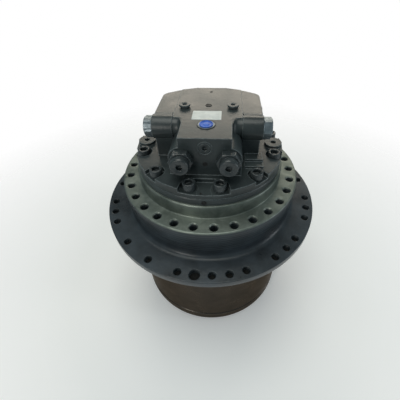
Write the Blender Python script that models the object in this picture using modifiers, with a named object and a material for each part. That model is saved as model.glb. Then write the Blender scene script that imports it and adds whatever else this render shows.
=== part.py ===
"""Excavator final drive with its hydraulic travel motor, standing on its end cover.

The spindle carries the motor, the valve block and the fixed output carrier.
The hub, ring gear and end cover turn round it on two tapered roller bearings.
Two planetary stages share the ring gear: the input stage lies next to the end cover.
Units are metres, +Z runs along the axis towards the motor, and the valves face -Y.
"""
import math

import bmesh
import bpy
from mathutils import Matrix, Vector

# Clearances, and how far cutters reach past what they cut
GAP = 0.0003
RUNNING_GAP = 0.001
BACKLASH = 0.0004
REACH = 0.010

# Facets of round pieces
FINE = 36
MEDIUM = 20
ROUND = 16
SMALL = 12
TINY = 8
HOLE = 6

# End cover
COVER_RIM_THICKNESS = 0.037
COVER_RIM_CHAMFER = 0.009
COVER_NOSE_RADIUS = 0.148
COVER_NOSE_DEPTH = 0.021
COVER_POCKET_RADIUS = 0.120
COVER_POCKET_DEPTH = 0.014
COVER_PLUG_CIRCLE = 0.105
COVER_PLUG_RADIUS = 0.013
COVER_PLUG_LENGTH = 0.016
COVER_PLUG_INSET = 0.002

# Gears
MODULE = 0.007
PRESSURE_ANGLE = math.radians(20)
PLANETS = 3
INPUT_SUN_TEETH = 12
INPUT_PLANET_TEETH = 18
OUTPUT_PLANET_TEETH = 18
RING_TEETH = INPUT_SUN_TEETH + 2 * INPUT_PLANET_TEETH
OUTPUT_SUN_TEETH = RING_TEETH - 2 * OUTPUT_PLANET_TEETH
INPUT_FACE_WIDTH = 0.044
OUTPUT_FACE_WIDTH = 0.062
INPUT_PIN_RADIUS = 0.018
OUTPUT_PIN_RADIUS = 0.022
INPUT_SHAFT_RADIUS = 0.0157
OUTPUT_SUN_BORE = 0.023
OUTPUT_SUN_NECK = 0.0325
RING_UNDERCUT = 0.0007
RING_WALL = 0.02255

# Carriers
CARRIER_TO_TEETH = 0.019
INPUT_LOWER_PLATE = 0.012
INPUT_UPPER_PLATE = 0.016
INPUT_LOWER_BORE = 0.034
OUTPUT_LOWER_PLATE = 0.014
OUTPUT_LOWER_BORE = 0.058
OUTPUT_UPPER_PLATE = 0.018
CARRIER_POST_RADIUS = 0.019
CARRIER_POST_TO_RIM = 0.023
CARRIER_SPACING = 0.003
CARRIER_TO_COVER = 0.006

# Hub
HUB_NECK_WALL = 0.0228564
HUB_NECK_HEIGHT = 0.039
HUB_FILLET = 0.014
SPROCKET_FLANGE_WIDTH = 0.0555
SPROCKET_FLANGE_THICKNESS = 0.0155
SPROCKET_HOLE_TO_RIM = 0.0155
SPROCKET_HOLE_RADIUS = 0.0075
SPROCKET_HOLES = 22
SPROCKET_HOLE_START = math.radians(-167.45)
SPROCKET_EXTRA_HOLES = (1, 11, 15, 19)
SPROCKET_JACK_HOLE = 9
SPROCKET_JACK_HOLE_RADIUS = 0.0105
HUB_SLEEVE_WALL = 0.0165
HUB_SLEEVE_LENGTH = 0.062
HUB_BEARING_SHOULDER = 0.007
RING_REGISTER_DEPTH = 0.003

# Main bearings
BEARING_SEAT_RADIUS = 0.125
BEARING_SECTION = 0.030
BEARING_WIDTH = 0.034
BEARING_SPACING = 0.012
ROLLERS = 9
ROLLER_RADIUS = 0.0065
ROLLER_LENGTH = 0.024
ROLLER_TILT = math.radians(12)
ROLLER_PLAY = 0.0002
CAGE_THICKNESS = 0.002
CAGE_OVERHANG = 0.0025
NUT_THICKNESS = 0.012
NUT_SECTION = 0.016
NUT_SLOTS = 4
NUT_SLOT_WIDTH = 0.012
NUT_SLOT_DEPTH = 0.004

# Floating face seal
SEAL_RING_HEIGHT = 0.0112
SEAL_SECTION = 0.014
SEAL_NECK_STEP = 0.027
BEARING_SHOULDER_STEP = 0.008

# Spindle
FRAME_FLANGE_WIDTH = 0.037
FRAME_FLANGE_THICKNESS = 0.036
FRAME_HOLES = 30
FRAME_HOLE_TO_RIM = 0.015
FRAME_HOLE_RADIUS = 0.007
FRAME_HOLE_START = 0.0
PILOT_RADIUS = 0.158
PILOT_HEIGHT = 0.030
SPINDLE_NOSE_STEP = 0.008
SPINDLE_NOSE_LENGTH = 0.011
SPIGOT_RADIUS = 0.070
SPIGOT_LENGTH = 0.012
SPINDLE_FLOOR = 0.024
CAVITY_RADIUS = 0.092
BRAKE_BORE_RADIUS = 0.104
BRAKE_BORE_DEPTH = 0.058

# Hydraulic motor
SHAFT_TOP_RADIUS = 0.0177
SHAFT_SPLINE_RADIUS = 0.022
SHAFT_BEARING_RADIUS = 0.0247
SHAFT_LOWER_RADIUS = 0.020
LOWER_BEARING_RADIUS = 0.045
LOWER_BEARING_WIDTH = 0.016
UPPER_BEARING_RADIUS = 0.026
UPPER_BEARING_WIDTH = 0.018
SHAFT_SEAL_RADIUS = 0.036
SHAFT_SEAL_WIDTH = 0.010
SWASH_RADIUS = 0.088
SWASH_THICKNESS = 0.028
SWASH_BORE = 0.034
BLOCK_RADIUS = 0.0797
BLOCK_LENGTH = 0.070
PISTONS = 7
PISTON_CIRCLE = 0.052
PISTON_RADIUS = 0.012
PISTON_ENGAGEMENT = 0.036
SHOE_RADIUS = 0.0150
SHOE_HEIGHT = 0.008
RETAINER_THICKNESS = 0.004
RETAINER_RIM = 0.019
VALVE_PLATE_RADIUS = 0.078
VALVE_PLATE_THICKNESS = 0.007
KIDNEY_HALF_ANGLE = math.radians(62)
KIDNEY_HALF_WIDTH = 0.006

# Parking brake
DISC_THICKNESS = 0.0035
DISC_WIDTH = 0.018
SEPARATOR_WIDTH = 0.020
BRAKE_PISTON_WIDTH = 0.014
BRAKE_TRAVEL = 0.0025

# Port cover flange and its cap screws
PORT_FLANGE_INSET = 0.004
PORT_FLANGE_THICKNESS = 0.033
PORT_GROOVE_HEIGHT = 0.014
PORT_GROOVE_DEPTH = 0.0015
SCREWS = 12
SCREW_TO_RIM = 0.016
SCREW_FRONT_HALF_ANGLE = math.radians(11.5)
SCREW_HEAD_RADIUS = 0.012
SCREW_HEAD_HEIGHT = 0.016
SCREW_SHANK_RADIUS = 0.0077
SCREW_LENGTH = 0.048
COUNTERBORE_RADIUS = 0.0165
COUNTERBORE_DEPTH = 0.009
FRONT_POCKET_EDGE = 0.118
EAR_RADIUS = 0.018
EAR_TO_RIM = 0.019
EAR_HEIGHT = 0.006
EAR_HOLE_RADIUS = 0.006
EAR_HOLE_DEPTH = 0.018

# Valve block, cast in one with the port cover
BLOCK_HEIGHT = 0.077
BLOCK_SIDE = 0.104
BLOCK_BACK = 0.114
BLOCK_BACK_RADIUS = 0.166
BLOCK_BACK_CORNER = 0.020
BLOCK_STEP = 0.012
PLATEAU_HALF_WIDTH = 0.066
PLATEAU_RISE = 0.0025
PLATEAU_INSET = 0.004
TONGUE_HALF_WIDTH = 0.046
TONGUE_FRONT = 0.107
TONGUE_FILLET = 0.012
TONGUE_ROOT = 0.034
BLOCK_SINK = 0.008
SIDE_PAD_WIDTH = 0.034
SIDE_PAD_STEP = 0.0045

# Counterbalance valve, across the block
SPOOL_Y = -0.032
SPOOL_DROP = 0.021
SPOOL_RADIUS = 0.0102
SPOOL_WAIST_RADIUS = 0.0075
SPOOL_END_PLAY = 0.0033
SPOOL_TRAVEL = 0.008
SPOOL_BOSS_RADIUS = 0.023
SPOOL_BOSS_START = 0.065
SPOOL_NECK_RADIUS = 0.0193
HEX_CAP_RADIUS = 0.0208
HEX_CAP_LENGTH = 0.016
HEX_CAP_THREAD_RADIUS = 0.0165
HEX_CAP_THREAD_LENGTH = 0.018

# Relief valves, forwards from the block
RELIEF_X = 0.042
RELIEF_DROP = 0.042
RELIEF_BOSS_RADIUS = 0.024
RELIEF_HEX_RADIUS = 0.0215
RELIEF_HEX_LENGTH = 0.014
RELIEF_CAP_RADIUS = 0.0195
RELIEF_CAP_LENGTH = 0.013
RELIEF_SHANK_RADIUS = 0.0135
RELIEF_SHANK_LENGTH = 0.038

# Plugs and the port cap
TOP_PLUG_X = 0.0475
TOP_PLUG_Y = 0.009
TOP_PLUG_HEAD_RADIUS = 0.009
TOP_PLUG_HEAD_HEIGHT = 0.006
TOP_PLUG_SHANK_RADIUS = 0.006
TOP_PLUG_SHANK_LENGTH = 0.014
FRONT_PLUG_DROP = 0.020
FRONT_PLUG_RADIUS = 0.0105
FRONT_PLUG_LENGTH = 0.014
PORT_Y = -0.0615
PORT_RADIUS = 0.0135
PORT_DEPTH = 0.022
PORT_CAP_RADIUS = 0.0163
PORT_CAP_HEIGHT = 0.0025
PORT_CAP_STEM_LENGTH = 0.014

# Levels along the axis, from the end cover's resting face up to the block's top
RIM_BOTTOM = COVER_NOSE_DEPTH
RIM_TOP = RIM_BOTTOM + COVER_RIM_THICKNESS
RING_BOTTOM = RIM_TOP + GAP
INPUT_LOWER_PLATE_Z = RING_BOTTOM + CARRIER_TO_COVER
INPUT_GEAR_Z = INPUT_LOWER_PLATE_Z + INPUT_LOWER_PLATE + RUNNING_GAP
INPUT_UPPER_PLATE_Z = INPUT_GEAR_Z + INPUT_FACE_WIDTH + RUNNING_GAP
INPUT_UPPER_PLATE_TOP = INPUT_UPPER_PLATE_Z + INPUT_UPPER_PLATE
OUTPUT_LOWER_PLATE_Z = INPUT_UPPER_PLATE_TOP + CARRIER_SPACING
OUTPUT_GEAR_Z = OUTPUT_LOWER_PLATE_Z + OUTPUT_LOWER_PLATE + RUNNING_GAP
OUTPUT_UPPER_PLATE_Z = OUTPUT_GEAR_Z + OUTPUT_FACE_WIDTH + RUNNING_GAP
OUTPUT_UPPER_PLATE_TOP = OUTPUT_UPPER_PLATE_Z + OUTPUT_UPPER_PLATE
NOSE_Z = OUTPUT_UPPER_PLATE_TOP + GAP
NUT_Z = NOSE_Z + SPINDLE_NOSE_LENGTH
LOWER_BEARING_Z = NUT_Z + NUT_THICKNESS + GAP
UPPER_BEARING_Z = LOWER_BEARING_Z + BEARING_WIDTH + BEARING_SPACING
UPPER_BEARING_TOP = UPPER_BEARING_Z + BEARING_WIDTH
SEAL_FLOOR_Z = UPPER_BEARING_TOP + GAP
LOWER_SEAL_Z = SEAL_FLOOR_Z + GAP
UPPER_SEAL_Z = LOWER_SEAL_Z + SEAL_RING_HEIGHT + GAP
FLANGE_UNDERSIDE_Z = UPPER_SEAL_Z + SEAL_RING_HEIGHT + GAP
HUB_TOP = FLANGE_UNDERSIDE_Z - RUNNING_GAP
SPROCKET_FACE_Z = HUB_TOP - HUB_NECK_HEIGHT
HUB_BOTTOM = SPROCKET_FACE_Z - SPROCKET_FLANGE_THICKNESS
RING_TOP = HUB_BOTTOM + RING_REGISTER_DEPTH - GAP
SLEEVE_BOTTOM = HUB_BOTTOM - HUB_SLEEVE_LENGTH
FRAME_FACE_Z = FLANGE_UNDERSIDE_Z + FRAME_FLANGE_THICKNESS
PILOT_TOP = FRAME_FACE_Z + PILOT_HEIGHT
PORT_BOTTOM = PILOT_TOP + GAP
PORT_FLANGE_TOP = PORT_BOTTOM + PORT_FLANGE_THICKNESS
BLOCK_TOP = PORT_FLANGE_TOP + BLOCK_HEIGHT
SHOULDER_TOP = BLOCK_TOP - PLATEAU_RISE
SCREW_SEAT_Z = PORT_FLANGE_TOP - COUNTERBORE_DEPTH
SPOOL_Z = BLOCK_TOP - SPOOL_DROP
RELIEF_Z = BLOCK_TOP - RELIEF_DROP

# Radii that follow from the pieces round them
SEAL_NECK_RADIUS = BEARING_SEAT_RADIUS + SEAL_NECK_STEP
BEARING_SHOULDER_RADIUS = BEARING_SEAT_RADIUS + BEARING_SHOULDER_STEP
SPINDLE_NOSE_RADIUS = BEARING_SEAT_RADIUS - SPINDLE_NOSE_STEP
BEARING_OUTER_RADIUS = BEARING_SEAT_RADIUS + BEARING_SECTION
HUB_BORE_RADIUS = (BEARING_OUTER_RADIUS + GAP) / math.cos(math.pi / FINE)
SLEEVE_RADIUS = HUB_BORE_RADIUS + HUB_SLEEVE_WALL
RING_PITCH_RADIUS = MODULE * RING_TEETH / 2
RING_ROOT_RADIUS = RING_PITCH_RADIUS + 1.25 * MODULE
CARRIER_RADIUS = RING_PITCH_RADIUS - MODULE - CARRIER_TO_TEETH
CARRIER_POST_CIRCLE = CARRIER_RADIUS - CARRIER_POST_TO_RIM
RING_BORE_RADIUS = max(SLEEVE_RADIUS + GAP, RING_ROOT_RADIUS + RING_UNDERCUT)
COVER_RADIUS = RING_BORE_RADIUS + RING_WALL
SEAL_INNER_RADIUS = (SEAL_NECK_RADIUS + GAP) / math.cos(math.pi / MEDIUM)
SEAL_OUTER_RADIUS = SEAL_INNER_RADIUS + SEAL_SECTION
SEAL_BORE_RADIUS = (SEAL_OUTER_RADIUS + GAP) / math.cos(math.pi / FINE)
HUB_NECK_RADIUS = SEAL_BORE_RADIUS + HUB_NECK_WALL
SPROCKET_FLANGE_RADIUS = HUB_NECK_RADIUS + SPROCKET_FLANGE_WIDTH
SPROCKET_HOLE_CIRCLE = SPROCKET_FLANGE_RADIUS - SPROCKET_HOLE_TO_RIM
FRAME_FLANGE_RADIUS = PILOT_RADIUS + FRAME_FLANGE_WIDTH
FRAME_HOLE_CIRCLE = FRAME_FLANGE_RADIUS - FRAME_HOLE_TO_RIM
PORT_FLANGE_RADIUS = PILOT_RADIUS - PORT_FLANGE_INSET
SCREW_CIRCLE = PORT_FLANGE_RADIUS - SCREW_TO_RIM
EAR_CIRCLE = PORT_FLANGE_RADIUS - EAR_TO_RIM
SPOOL_LENGTH = 2 * (BLOCK_SIDE + GAP - HEX_CAP_THREAD_LENGTH - SPOOL_TRAVEL - SPOOL_END_PLAY)

# Levels inside the motor
CAVITY_FLOOR = NOSE_Z + SPINDLE_FLOOR
SWASH_Z = CAVITY_FLOOR + GAP
SWASH_TOP = SWASH_Z + SWASH_THICKNESS
SHOE_Z = SWASH_TOP + GAP
VALVE_PLATE_Z = PORT_BOTTOM - GAP - VALVE_PLATE_THICKNESS
BLOCK_END_Z = VALVE_PLATE_Z - GAP
BLOCK_START_Z = BLOCK_END_Z - BLOCK_LENGTH
BRAKE_FLOOR = PILOT_TOP - BRAKE_BORE_DEPTH
DISC_PITCH = DISC_THICKNESS + GAP
BRAKE_PISTON_Z = BRAKE_FLOOR + 3 * DISC_PITCH + GAP
BRAKE_PISTON_TOP = PILOT_TOP - BRAKE_TRAVEL - RUNNING_GAP
SPIGOT_Z = NOSE_Z - SPIGOT_LENGTH
INPUT_SUN_TOP = INPUT_GEAR_Z + INPUT_FACE_WIDTH

STEEL = ("bare_steel", (0.42, 0.43, 0.43), 1.0, 0.35)
GEAR_STEEL = ("gear_steel", (0.30, 0.30, 0.31), 1.0, 0.3)
CASTING_PAINT = ("casting_paint", (0.055, 0.06, 0.068), 0.0, 0.4)
HUB_PAINT = ("hub_paint", (0.10, 0.12, 0.14), 0.0, 0.42)
BARREL_COAT = ("barrel_coat", (0.085, 0.075, 0.068), 0.3, 0.4)
SPINDLE_METAL = ("machined_casting", (0.28, 0.29, 0.25), 0.8, 0.4)
BRONZE = ("bronze", (0.45, 0.30, 0.13), 1.0, 0.35)
FRICTION = ("friction_lining", (0.12, 0.09, 0.06), 0.0, 0.8)
RUBBER = ("seal_rubber", (0.02, 0.02, 0.02), 0.0, 0.6)
BLACK_SCREW = ("black_steel", (0.06, 0.06, 0.065), 0.7, 0.4)
BLUE_CAP = ("blue_plastic", (0.03, 0.06, 0.45), 0.0, 0.35)


def clear_scene():
    for item in list(bpy.data.objects):
        bpy.data.objects.remove(item)


def new_collection(name, hidden=False):
    collection = bpy.data.collections.new(name)
    bpy.context.scene.collection.children.link(collection)
    collection.hide_render = hidden
    return collection


def material(spec):
    """The Principled material of this specification, made once."""
    name, colour, metallic, roughness = spec
    found = bpy.data.materials.get(name)
    if found:
        return found
    made = bpy.data.materials.new(name)
    made.use_nodes = True
    shader = made.node_tree.nodes["Principled BSDF"]
    shader.inputs["Base Color"].default_value = (*colour, 1.0)
    shader.inputs["Metallic"].default_value = metallic
    shader.inputs["Roughness"].default_value = roughness
    return made


def add_object(name, mesh, spec=None, helper=False):
    made = bpy.data.objects.new(name, mesh)
    (CUTTERS if helper else PARTS).objects.link(made)
    if helper:
        made.hide_render = True
        made.display_type = "WIRE"
    if spec:
        mesh.materials.append(material(spec))
    return made


def mesh_from(bm, name):
    mesh = bpy.data.meshes.new(name)
    bmesh.ops.recalc_face_normals(bm, faces=bm.faces)
    bm.to_mesh(mesh)
    bm.free()
    return mesh


def smooth(item, angle=35):
    item.data.shade_smooth()
    item.data.set_sharp_from_angle(angle=math.radians(angle))


def turned(name, profile, steps, spec=None, ring=True, helper=False):
    """A profile of (radius, height) points, running down the outer side, turned round Z."""
    count = len(profile)
    edges = [(i, i + 1) for i in range(count - 1)]
    if ring:
        edges.append((count - 1, 0))
    mesh = bpy.data.meshes.new(name)
    mesh.from_pydata([(r, 0.0, z) for r, z in profile], edges, [])
    made = add_object(name, mesh, spec, helper)
    screw = made.modifiers.new("Turn", "SCREW")
    screw.angle = 2 * math.pi
    screw.steps = steps
    screw.render_steps = steps
    screw.use_merge_vertices = True
    screw.merge_threshold = 0.00001
    return made


def bore_round(radius, sides, play=GAP):
    """The corner radius of a bore of flat facets that clears a round piece at every turn."""
    return (radius + play) / math.cos(math.pi / sides)


def spun(profile, steps, frame=None):
    """A solid mesh of (radius, height) points spun round Z, its ends closed by flat faces."""
    bm = bmesh.new()
    verts = [bm.verts.new((r, 0.0, z)) for r, z in profile]
    edges = [bm.edges.new(pair) for pair in zip(verts, verts[1:])]
    bmesh.ops.spin(
        bm,
        geom=verts + edges,
        cent=(0, 0, 0),
        axis=(0, 0, 1),
        angle=2 * math.pi,
        steps=steps,
    )
    bmesh.ops.remove_doubles(bm, verts=bm.verts, dist=0.000001)
    open_edges = [edge for edge in bm.edges if len(edge.link_faces) == 1]
    bmesh.ops.holes_fill(bm, edges=open_edges, sides=0)
    if frame:
        bmesh.ops.transform(bm, matrix=frame, verts=bm.verts)
    return bm


def solid(name, profile, steps, spec=None, helper=False):
    """A solid turned piece, from a profile of (radius, height) points that leaves out the axis."""
    return add_object(name, mesh_from(spun(profile, steps), name), spec, helper)


def merge_flat(item):
    """Joins the flat faces that the cuts and joins before it have split."""
    modifier = item.modifiers.new("Merge flat faces", "DECIMATE")
    modifier.decimate_type = "DISSOLVE"
    modifier.angle_limit = math.radians(0.05)
    return item


def ring_profile(inner, outer, low, high):
    return [(outer, high), (outer, low), (inner, low), (inner, high)]


def arc(centre, radius, start, end, count):
    """Points (radius, height) along an arc between two angles in degrees."""
    return [
        (
            centre[0] + radius * math.cos(math.radians(start + (end - start) * i / count)),
            centre[1] + radius * math.sin(math.radians(start + (end - start) * i / count)),
        )
        for i in range(count + 1)
    ]


def prism(name, outlines, low, high, spec=None, helper=False):
    """Closed flat outlines, the inner ones being holes, extruded between two heights."""
    curve = bpy.data.curves.new(name, "CURVE")
    curve.dimensions = "2D"
    curve.fill_mode = "BOTH"
    curve.extrude = (high - low) / 2
    for outline in outlines:
        spline = curve.splines.new("POLY")
        spline.points.add(len(outline) - 1)
        spline.use_cyclic_u = True
        for point, (x, y) in zip(spline.points, outline):
            point.co = (x, y, 0.0, 1.0)
    source = bpy.data.objects.new(name + "_outline", curve)
    CUTTERS.objects.link(source)
    bpy.context.view_layer.update()
    graph = bpy.context.evaluated_depsgraph_get()
    mesh = bpy.data.meshes.new_from_object(source.evaluated_get(graph))
    bpy.data.objects.remove(source)
    bm = bmesh.new()
    bm.from_mesh(mesh)
    bmesh.ops.remove_doubles(bm, verts=bm.verts, dist=0.000001)
    bmesh.ops.translate(bm, verts=bm.verts, vec=(0, 0, (low + high) / 2))
    bmesh.ops.dissolve_limit(bm, angle_limit=0.001, verts=bm.verts, edges=bm.edges)
    mesh.materials.clear()
    bmesh.ops.recalc_face_normals(bm, faces=bm.faces)
    bm.to_mesh(mesh)
    bm.free()
    return add_object(name, mesh, spec, helper)


def circle(radius, count, centre=(0.0, 0.0), phase=0.0):
    return [
        (
            centre[0] + radius * math.cos(phase + 2 * math.pi * i / count),
            centre[1] + radius * math.sin(phase + 2 * math.pi * i / count),
        )
        for i in range(count)
    ]


def around(radius, angle, z=0.0):
    return Vector((radius * math.cos(angle), radius * math.sin(angle), z))


def rods(name, places, sides, helper=True, spec=None, phase=0.0):
    """Cylinders or cones in one mesh: each place is (start, end, start radius, end radius)."""
    bm = bmesh.new()
    for start, end, first, last in places:
        start, end = Vector(start), Vector(end)
        turn = (end - start).to_track_quat("Z", "Y").to_matrix().to_4x4() @ Matrix.Rotation(phase, 4, "Z")
        bmesh.ops.create_cone(
            bm,
            cap_ends=True,
            segments=sides,
            radius1=first,
            radius2=last,
            depth=(end - start).length,
            matrix=Matrix.Translation((start + end) / 2) @ turn,
        )
    return add_object(name, mesh_from(bm, name), spec, helper)


def boxes(name, places, helper=True, spec=None):
    """Boxes in one mesh: each place is (low corner, high corner, turn about Z)."""
    bm = bmesh.new()
    for low, high, turn in places:
        low, high = Vector(low), Vector(high)
        matrix = (
            Matrix.Rotation(turn, 4, "Z")
            @ Matrix.Translation((low + high) / 2)
            @ Matrix.Diagonal((*(high - low), 1.0))
        )
        bmesh.ops.create_cube(bm, size=1.0, matrix=matrix)
    return add_object(name, mesh_from(bm, name), spec, helper)


def boolean(item, other, operation):
    modifier = item.modifiers.new(operation.title(), "BOOLEAN")
    modifier.operation = operation
    modifier.solver = "EXACT"
    modifier.object = other


def cut(item, *cutters):
    for cutter in cutters:
        boolean(item, cutter, "DIFFERENCE")
    return item


def join(item, *others):
    for other in others:
        boolean(item, other, "UNION")
    return item


def involute(angle):
    return math.tan(angle) - angle


def half_tooth_angle(teeth, radius, pitch_half):
    """Half the angle of an involute tooth at a radius, from its half angle at the pitch circle."""
    base = MODULE * teeth / 2 * math.cos(PRESSURE_ANGLE)
    at_radius = math.acos(min(1.0, base / max(radius, base)))
    return pitch_half + involute(PRESSURE_ANGLE) - involute(at_radius)


def flank_sag(teeth):
    """How far a straight flank from root to tip cuts into its involute."""
    length = 2.25 * MODULE / math.cos(PRESSURE_ANGLE)
    return length**2 / (4 * MODULE * teeth * math.sin(PRESSURE_ANGLE))


def gear_outline(teeth, turn=0.0, internal=False):
    """Points of a gear, or of an internal gear's tooth spaces, each centred on turn.

    The corners lie on the involutes and the flanks are straight between them.
    """
    pitch = MODULE * teeth / 2
    play = -BACKLASH / 2 / pitch
    radii = (pitch - 1.25 * MODULE, pitch + MODULE)
    if internal:
        play = (BACKLASH / 2 + flank_sag(teeth)) / pitch
        radii = (pitch - MODULE, pitch + 1.25 * MODULE)
    pitch_half = math.pi / 2 / teeth + play
    points = []
    for tooth in range(teeth):
        middle = turn + 2 * math.pi * tooth / teeth
        halves = [half_tooth_angle(teeth, r, pitch_half) for r in radii]
        for radius, half in zip(radii, halves):
            points.append((radius * math.cos(middle - half), radius * math.sin(middle - half)))
        for radius, half in reversed(list(zip(radii, halves))):
            points.append((radius * math.cos(middle + half), radius * math.sin(middle + half)))
    return points


def planet_angles(sun_teeth):
    """The angles nearest to even spacing at which planets can be put in mesh."""
    steps = sun_teeth + RING_TEETH
    return [2 * math.pi * round(k * steps / PLANETS) / steps for k in range(PLANETS)]


def planet_circle(planet_teeth):
    return MODULE * (RING_TEETH - planet_teeth) / 2


def planet_turn(angle, planet_teeth):
    """The turn that puts a planet's teeth in the ring gear's spaces, one of which lies on +X."""
    return angle - angle * RING_TEETH / planet_teeth


def sun_turn(sun_teeth, planet_teeth):
    """The turn that puts the sun's teeth in the spaces of the planet on +X."""
    return 2 * math.pi / sun_teeth * (planet_teeth / 2 - 0.5)


def gear(name, teeth, bore, low, high, turn, centre=(0.0, 0.0)):
    made = prism(name, [gear_outline(teeth, turn), circle(bore, TINY)], low, high, GEAR_STEEL)
    made.location = (centre[0], centre[1], 0.0)
    smooth(made, 25)
    return made


def make_end_cover():
    nose_slope = COVER_NOSE_DEPTH / 2
    cover = solid(
        "end_cover",
        [
            (COVER_POCKET_RADIUS, RIM_TOP - COVER_POCKET_DEPTH),
            (COVER_POCKET_RADIUS + COVER_POCKET_DEPTH, RIM_TOP),
            (COVER_RADIUS, RIM_TOP),
            (COVER_RADIUS, RIM_BOTTOM + COVER_RIM_CHAMFER),
            (COVER_RADIUS - COVER_RIM_CHAMFER / 3, RIM_BOTTOM),
            (COVER_NOSE_RADIUS + nose_slope, RIM_BOTTOM),
            (COVER_NOSE_RADIUS, nose_slope),
            (COVER_NOSE_RADIUS - nose_slope / 2, 0.0),
        ],
        FINE,
        BARREL_COAT,
    )
    hole = bore_round(COVER_PLUG_RADIUS, TINY)
    top = COVER_PLUG_INSET + COVER_PLUG_LENGTH + GAP
    places = [around(COVER_PLUG_CIRCLE, angle) for angle in cover_plug_angles()]
    holes = [(p + Vector((0, 0, -REACH)), p + Vector((0, 0, top)), hole, hole) for p in places]
    merge_flat(cut(cover, rods("end_cover_plug_holes", holes, TINY)))
    for name, place in zip(("fill_plug", "drain_plug"), places):
        place += Vector((0, 0, COVER_PLUG_INSET))
        plug(name, place, Vector((0, 0, 1)), [(COVER_PLUG_RADIUS, COVER_PLUG_LENGTH)], BLACK_SCREW)


def cover_plug_angles():
    return (math.radians(90), math.radians(-90))


def plug(name, place, direction, sections, spec, sides=TINY):
    """A stepped round plug or screw going in from a place. Each section is (radius, length)."""
    turn = direction.to_track_quat("Z", "Y").to_matrix().to_4x4()
    profile = []
    height = 0.0
    for radius, length in sections:
        profile += [(radius, height), (radius, height + length)]
        height += length
    bm = spun(profile, sides, Matrix.Translation(place) @ turn)
    made = add_object(name, mesh_from(bm, name), spec)
    smooth(made)
    return made


def make_ring_gear():
    inner = gear_outline(RING_TEETH, 0.0, internal=True)
    ring = prism("ring_gear", [circle(COVER_RADIUS, FINE), inner], RING_BOTTOM, RING_TOP, BARREL_COAT)
    relief = SLEEVE_BOTTOM - REACH
    bore = [((0, 0, relief), (0, 0, RING_TOP + REACH), RING_BORE_RADIUS, RING_BORE_RADIUS)]
    cut(ring, rods("ring_gear_upper_bore", bore, FINE))
    smooth(ring, 25)


def make_carrier(name, planet_teeth, sun_teeth, pin, plates, bores, spec):
    """Two plates with planet pins and posts between them, in one body."""
    low, lower_top, upper_low, top = plates
    carrier = turned(name, ring_profile(bores[0], CARRIER_RADIUS, low, lower_top), MEDIUM, spec)
    upper = turned(
        name + "_upper", ring_profile(bores[1], CARRIER_RADIUS, upper_low, top), MEDIUM, helper=True
    )
    angles = planet_angles(sun_teeth)
    radius = planet_circle(planet_teeth)
    inside = (lower_top - low) / 2
    pins = []
    posts = []
    for first, second in zip(angles, angles[1:] + [angles[0] + 2 * math.pi]):
        between = (first + second) / 2
        pins.append((around(radius, first, low + inside), around(radius, first, top - inside), pin, pin))
        posts.append(
            (
                around(CARRIER_POST_CIRCLE, between, low + inside),
                around(CARRIER_POST_CIRCLE, between, top - inside),
                CARRIER_POST_RADIUS,
                CARRIER_POST_RADIUS,
            )
        )
    phase = math.radians(7)
    join(
        carrier,
        upper,
        rods(name + "_pins", pins, SMALL, phase=phase),
        rods(name + "_posts", posts, HOLE, phase=phase),
    )
    merge_flat(carrier)
    smooth(carrier)


def make_stages():
    """Both planetary stages: suns, planets and carriers, all in mesh at rest."""
    turn = sun_turn(INPUT_SUN_TEETH, INPUT_PLANET_TEETH)
    bore = bore_round(INPUT_SHAFT_RADIUS, TINY)
    gear("input_sun", INPUT_SUN_TEETH, bore, INPUT_GEAR_Z, INPUT_SUN_TOP, turn)
    for number, angle in enumerate(planet_angles(INPUT_SUN_TEETH), 1):
        gear(
            f"input_planet_{number}",
            INPUT_PLANET_TEETH,
            bore_round(INPUT_PIN_RADIUS, TINY),
            INPUT_GEAR_Z,
            INPUT_GEAR_Z + INPUT_FACE_WIDTH,
            planet_turn(angle, INPUT_PLANET_TEETH),
            around(planet_circle(INPUT_PLANET_TEETH), angle),
        )
    make_carrier(
        "input_carrier",
        INPUT_PLANET_TEETH,
        INPUT_SUN_TEETH,
        INPUT_PIN_RADIUS,
        (
            INPUT_LOWER_PLATE_Z,
            INPUT_LOWER_PLATE_Z + INPUT_LOWER_PLATE,
            INPUT_UPPER_PLATE_Z,
            INPUT_UPPER_PLATE_TOP,
        ),
        (INPUT_LOWER_BORE, bore_round(OUTPUT_SUN_NECK, MEDIUM)),
        GEAR_STEEL,
    )
    turn = sun_turn(OUTPUT_SUN_TEETH, OUTPUT_PLANET_TEETH)
    top = OUTPUT_GEAR_Z + OUTPUT_FACE_WIDTH
    sun = gear("output_sun", OUTPUT_SUN_TEETH, OUTPUT_SUN_BORE, OUTPUT_GEAR_Z, top, turn)
    neck = turned(
        "output_sun_neck",
        ring_profile(OUTPUT_SUN_BORE, OUTPUT_SUN_NECK, INPUT_UPPER_PLATE_Z, OUTPUT_GEAR_Z + GAP),
        TINY,
        helper=True,
    )
    merge_flat(join(sun, neck))
    for number, angle in enumerate(planet_angles(OUTPUT_SUN_TEETH), 1):
        gear(
            f"output_planet_{number}",
            OUTPUT_PLANET_TEETH,
            bore_round(OUTPUT_PIN_RADIUS, TINY),
            OUTPUT_GEAR_Z,
            top,
            planet_turn(angle, OUTPUT_PLANET_TEETH),
            around(planet_circle(OUTPUT_PLANET_TEETH), angle),
        )
    make_carrier(
        "output_carrier",
        OUTPUT_PLANET_TEETH,
        OUTPUT_SUN_TEETH,
        OUTPUT_PIN_RADIUS,
        (
            OUTPUT_LOWER_PLATE_Z,
            OUTPUT_LOWER_PLATE_Z + OUTPUT_LOWER_PLATE,
            OUTPUT_UPPER_PLATE_Z,
            OUTPUT_UPPER_PLATE_TOP,
        ),
        (OUTPUT_LOWER_BORE, bore_round(SPIGOT_RADIUS, MEDIUM)),
        GEAR_STEEL,
    )


def sprocket_hole_angle(step):
    return SPROCKET_HOLE_START + math.pi * step / SPROCKET_HOLES


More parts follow.
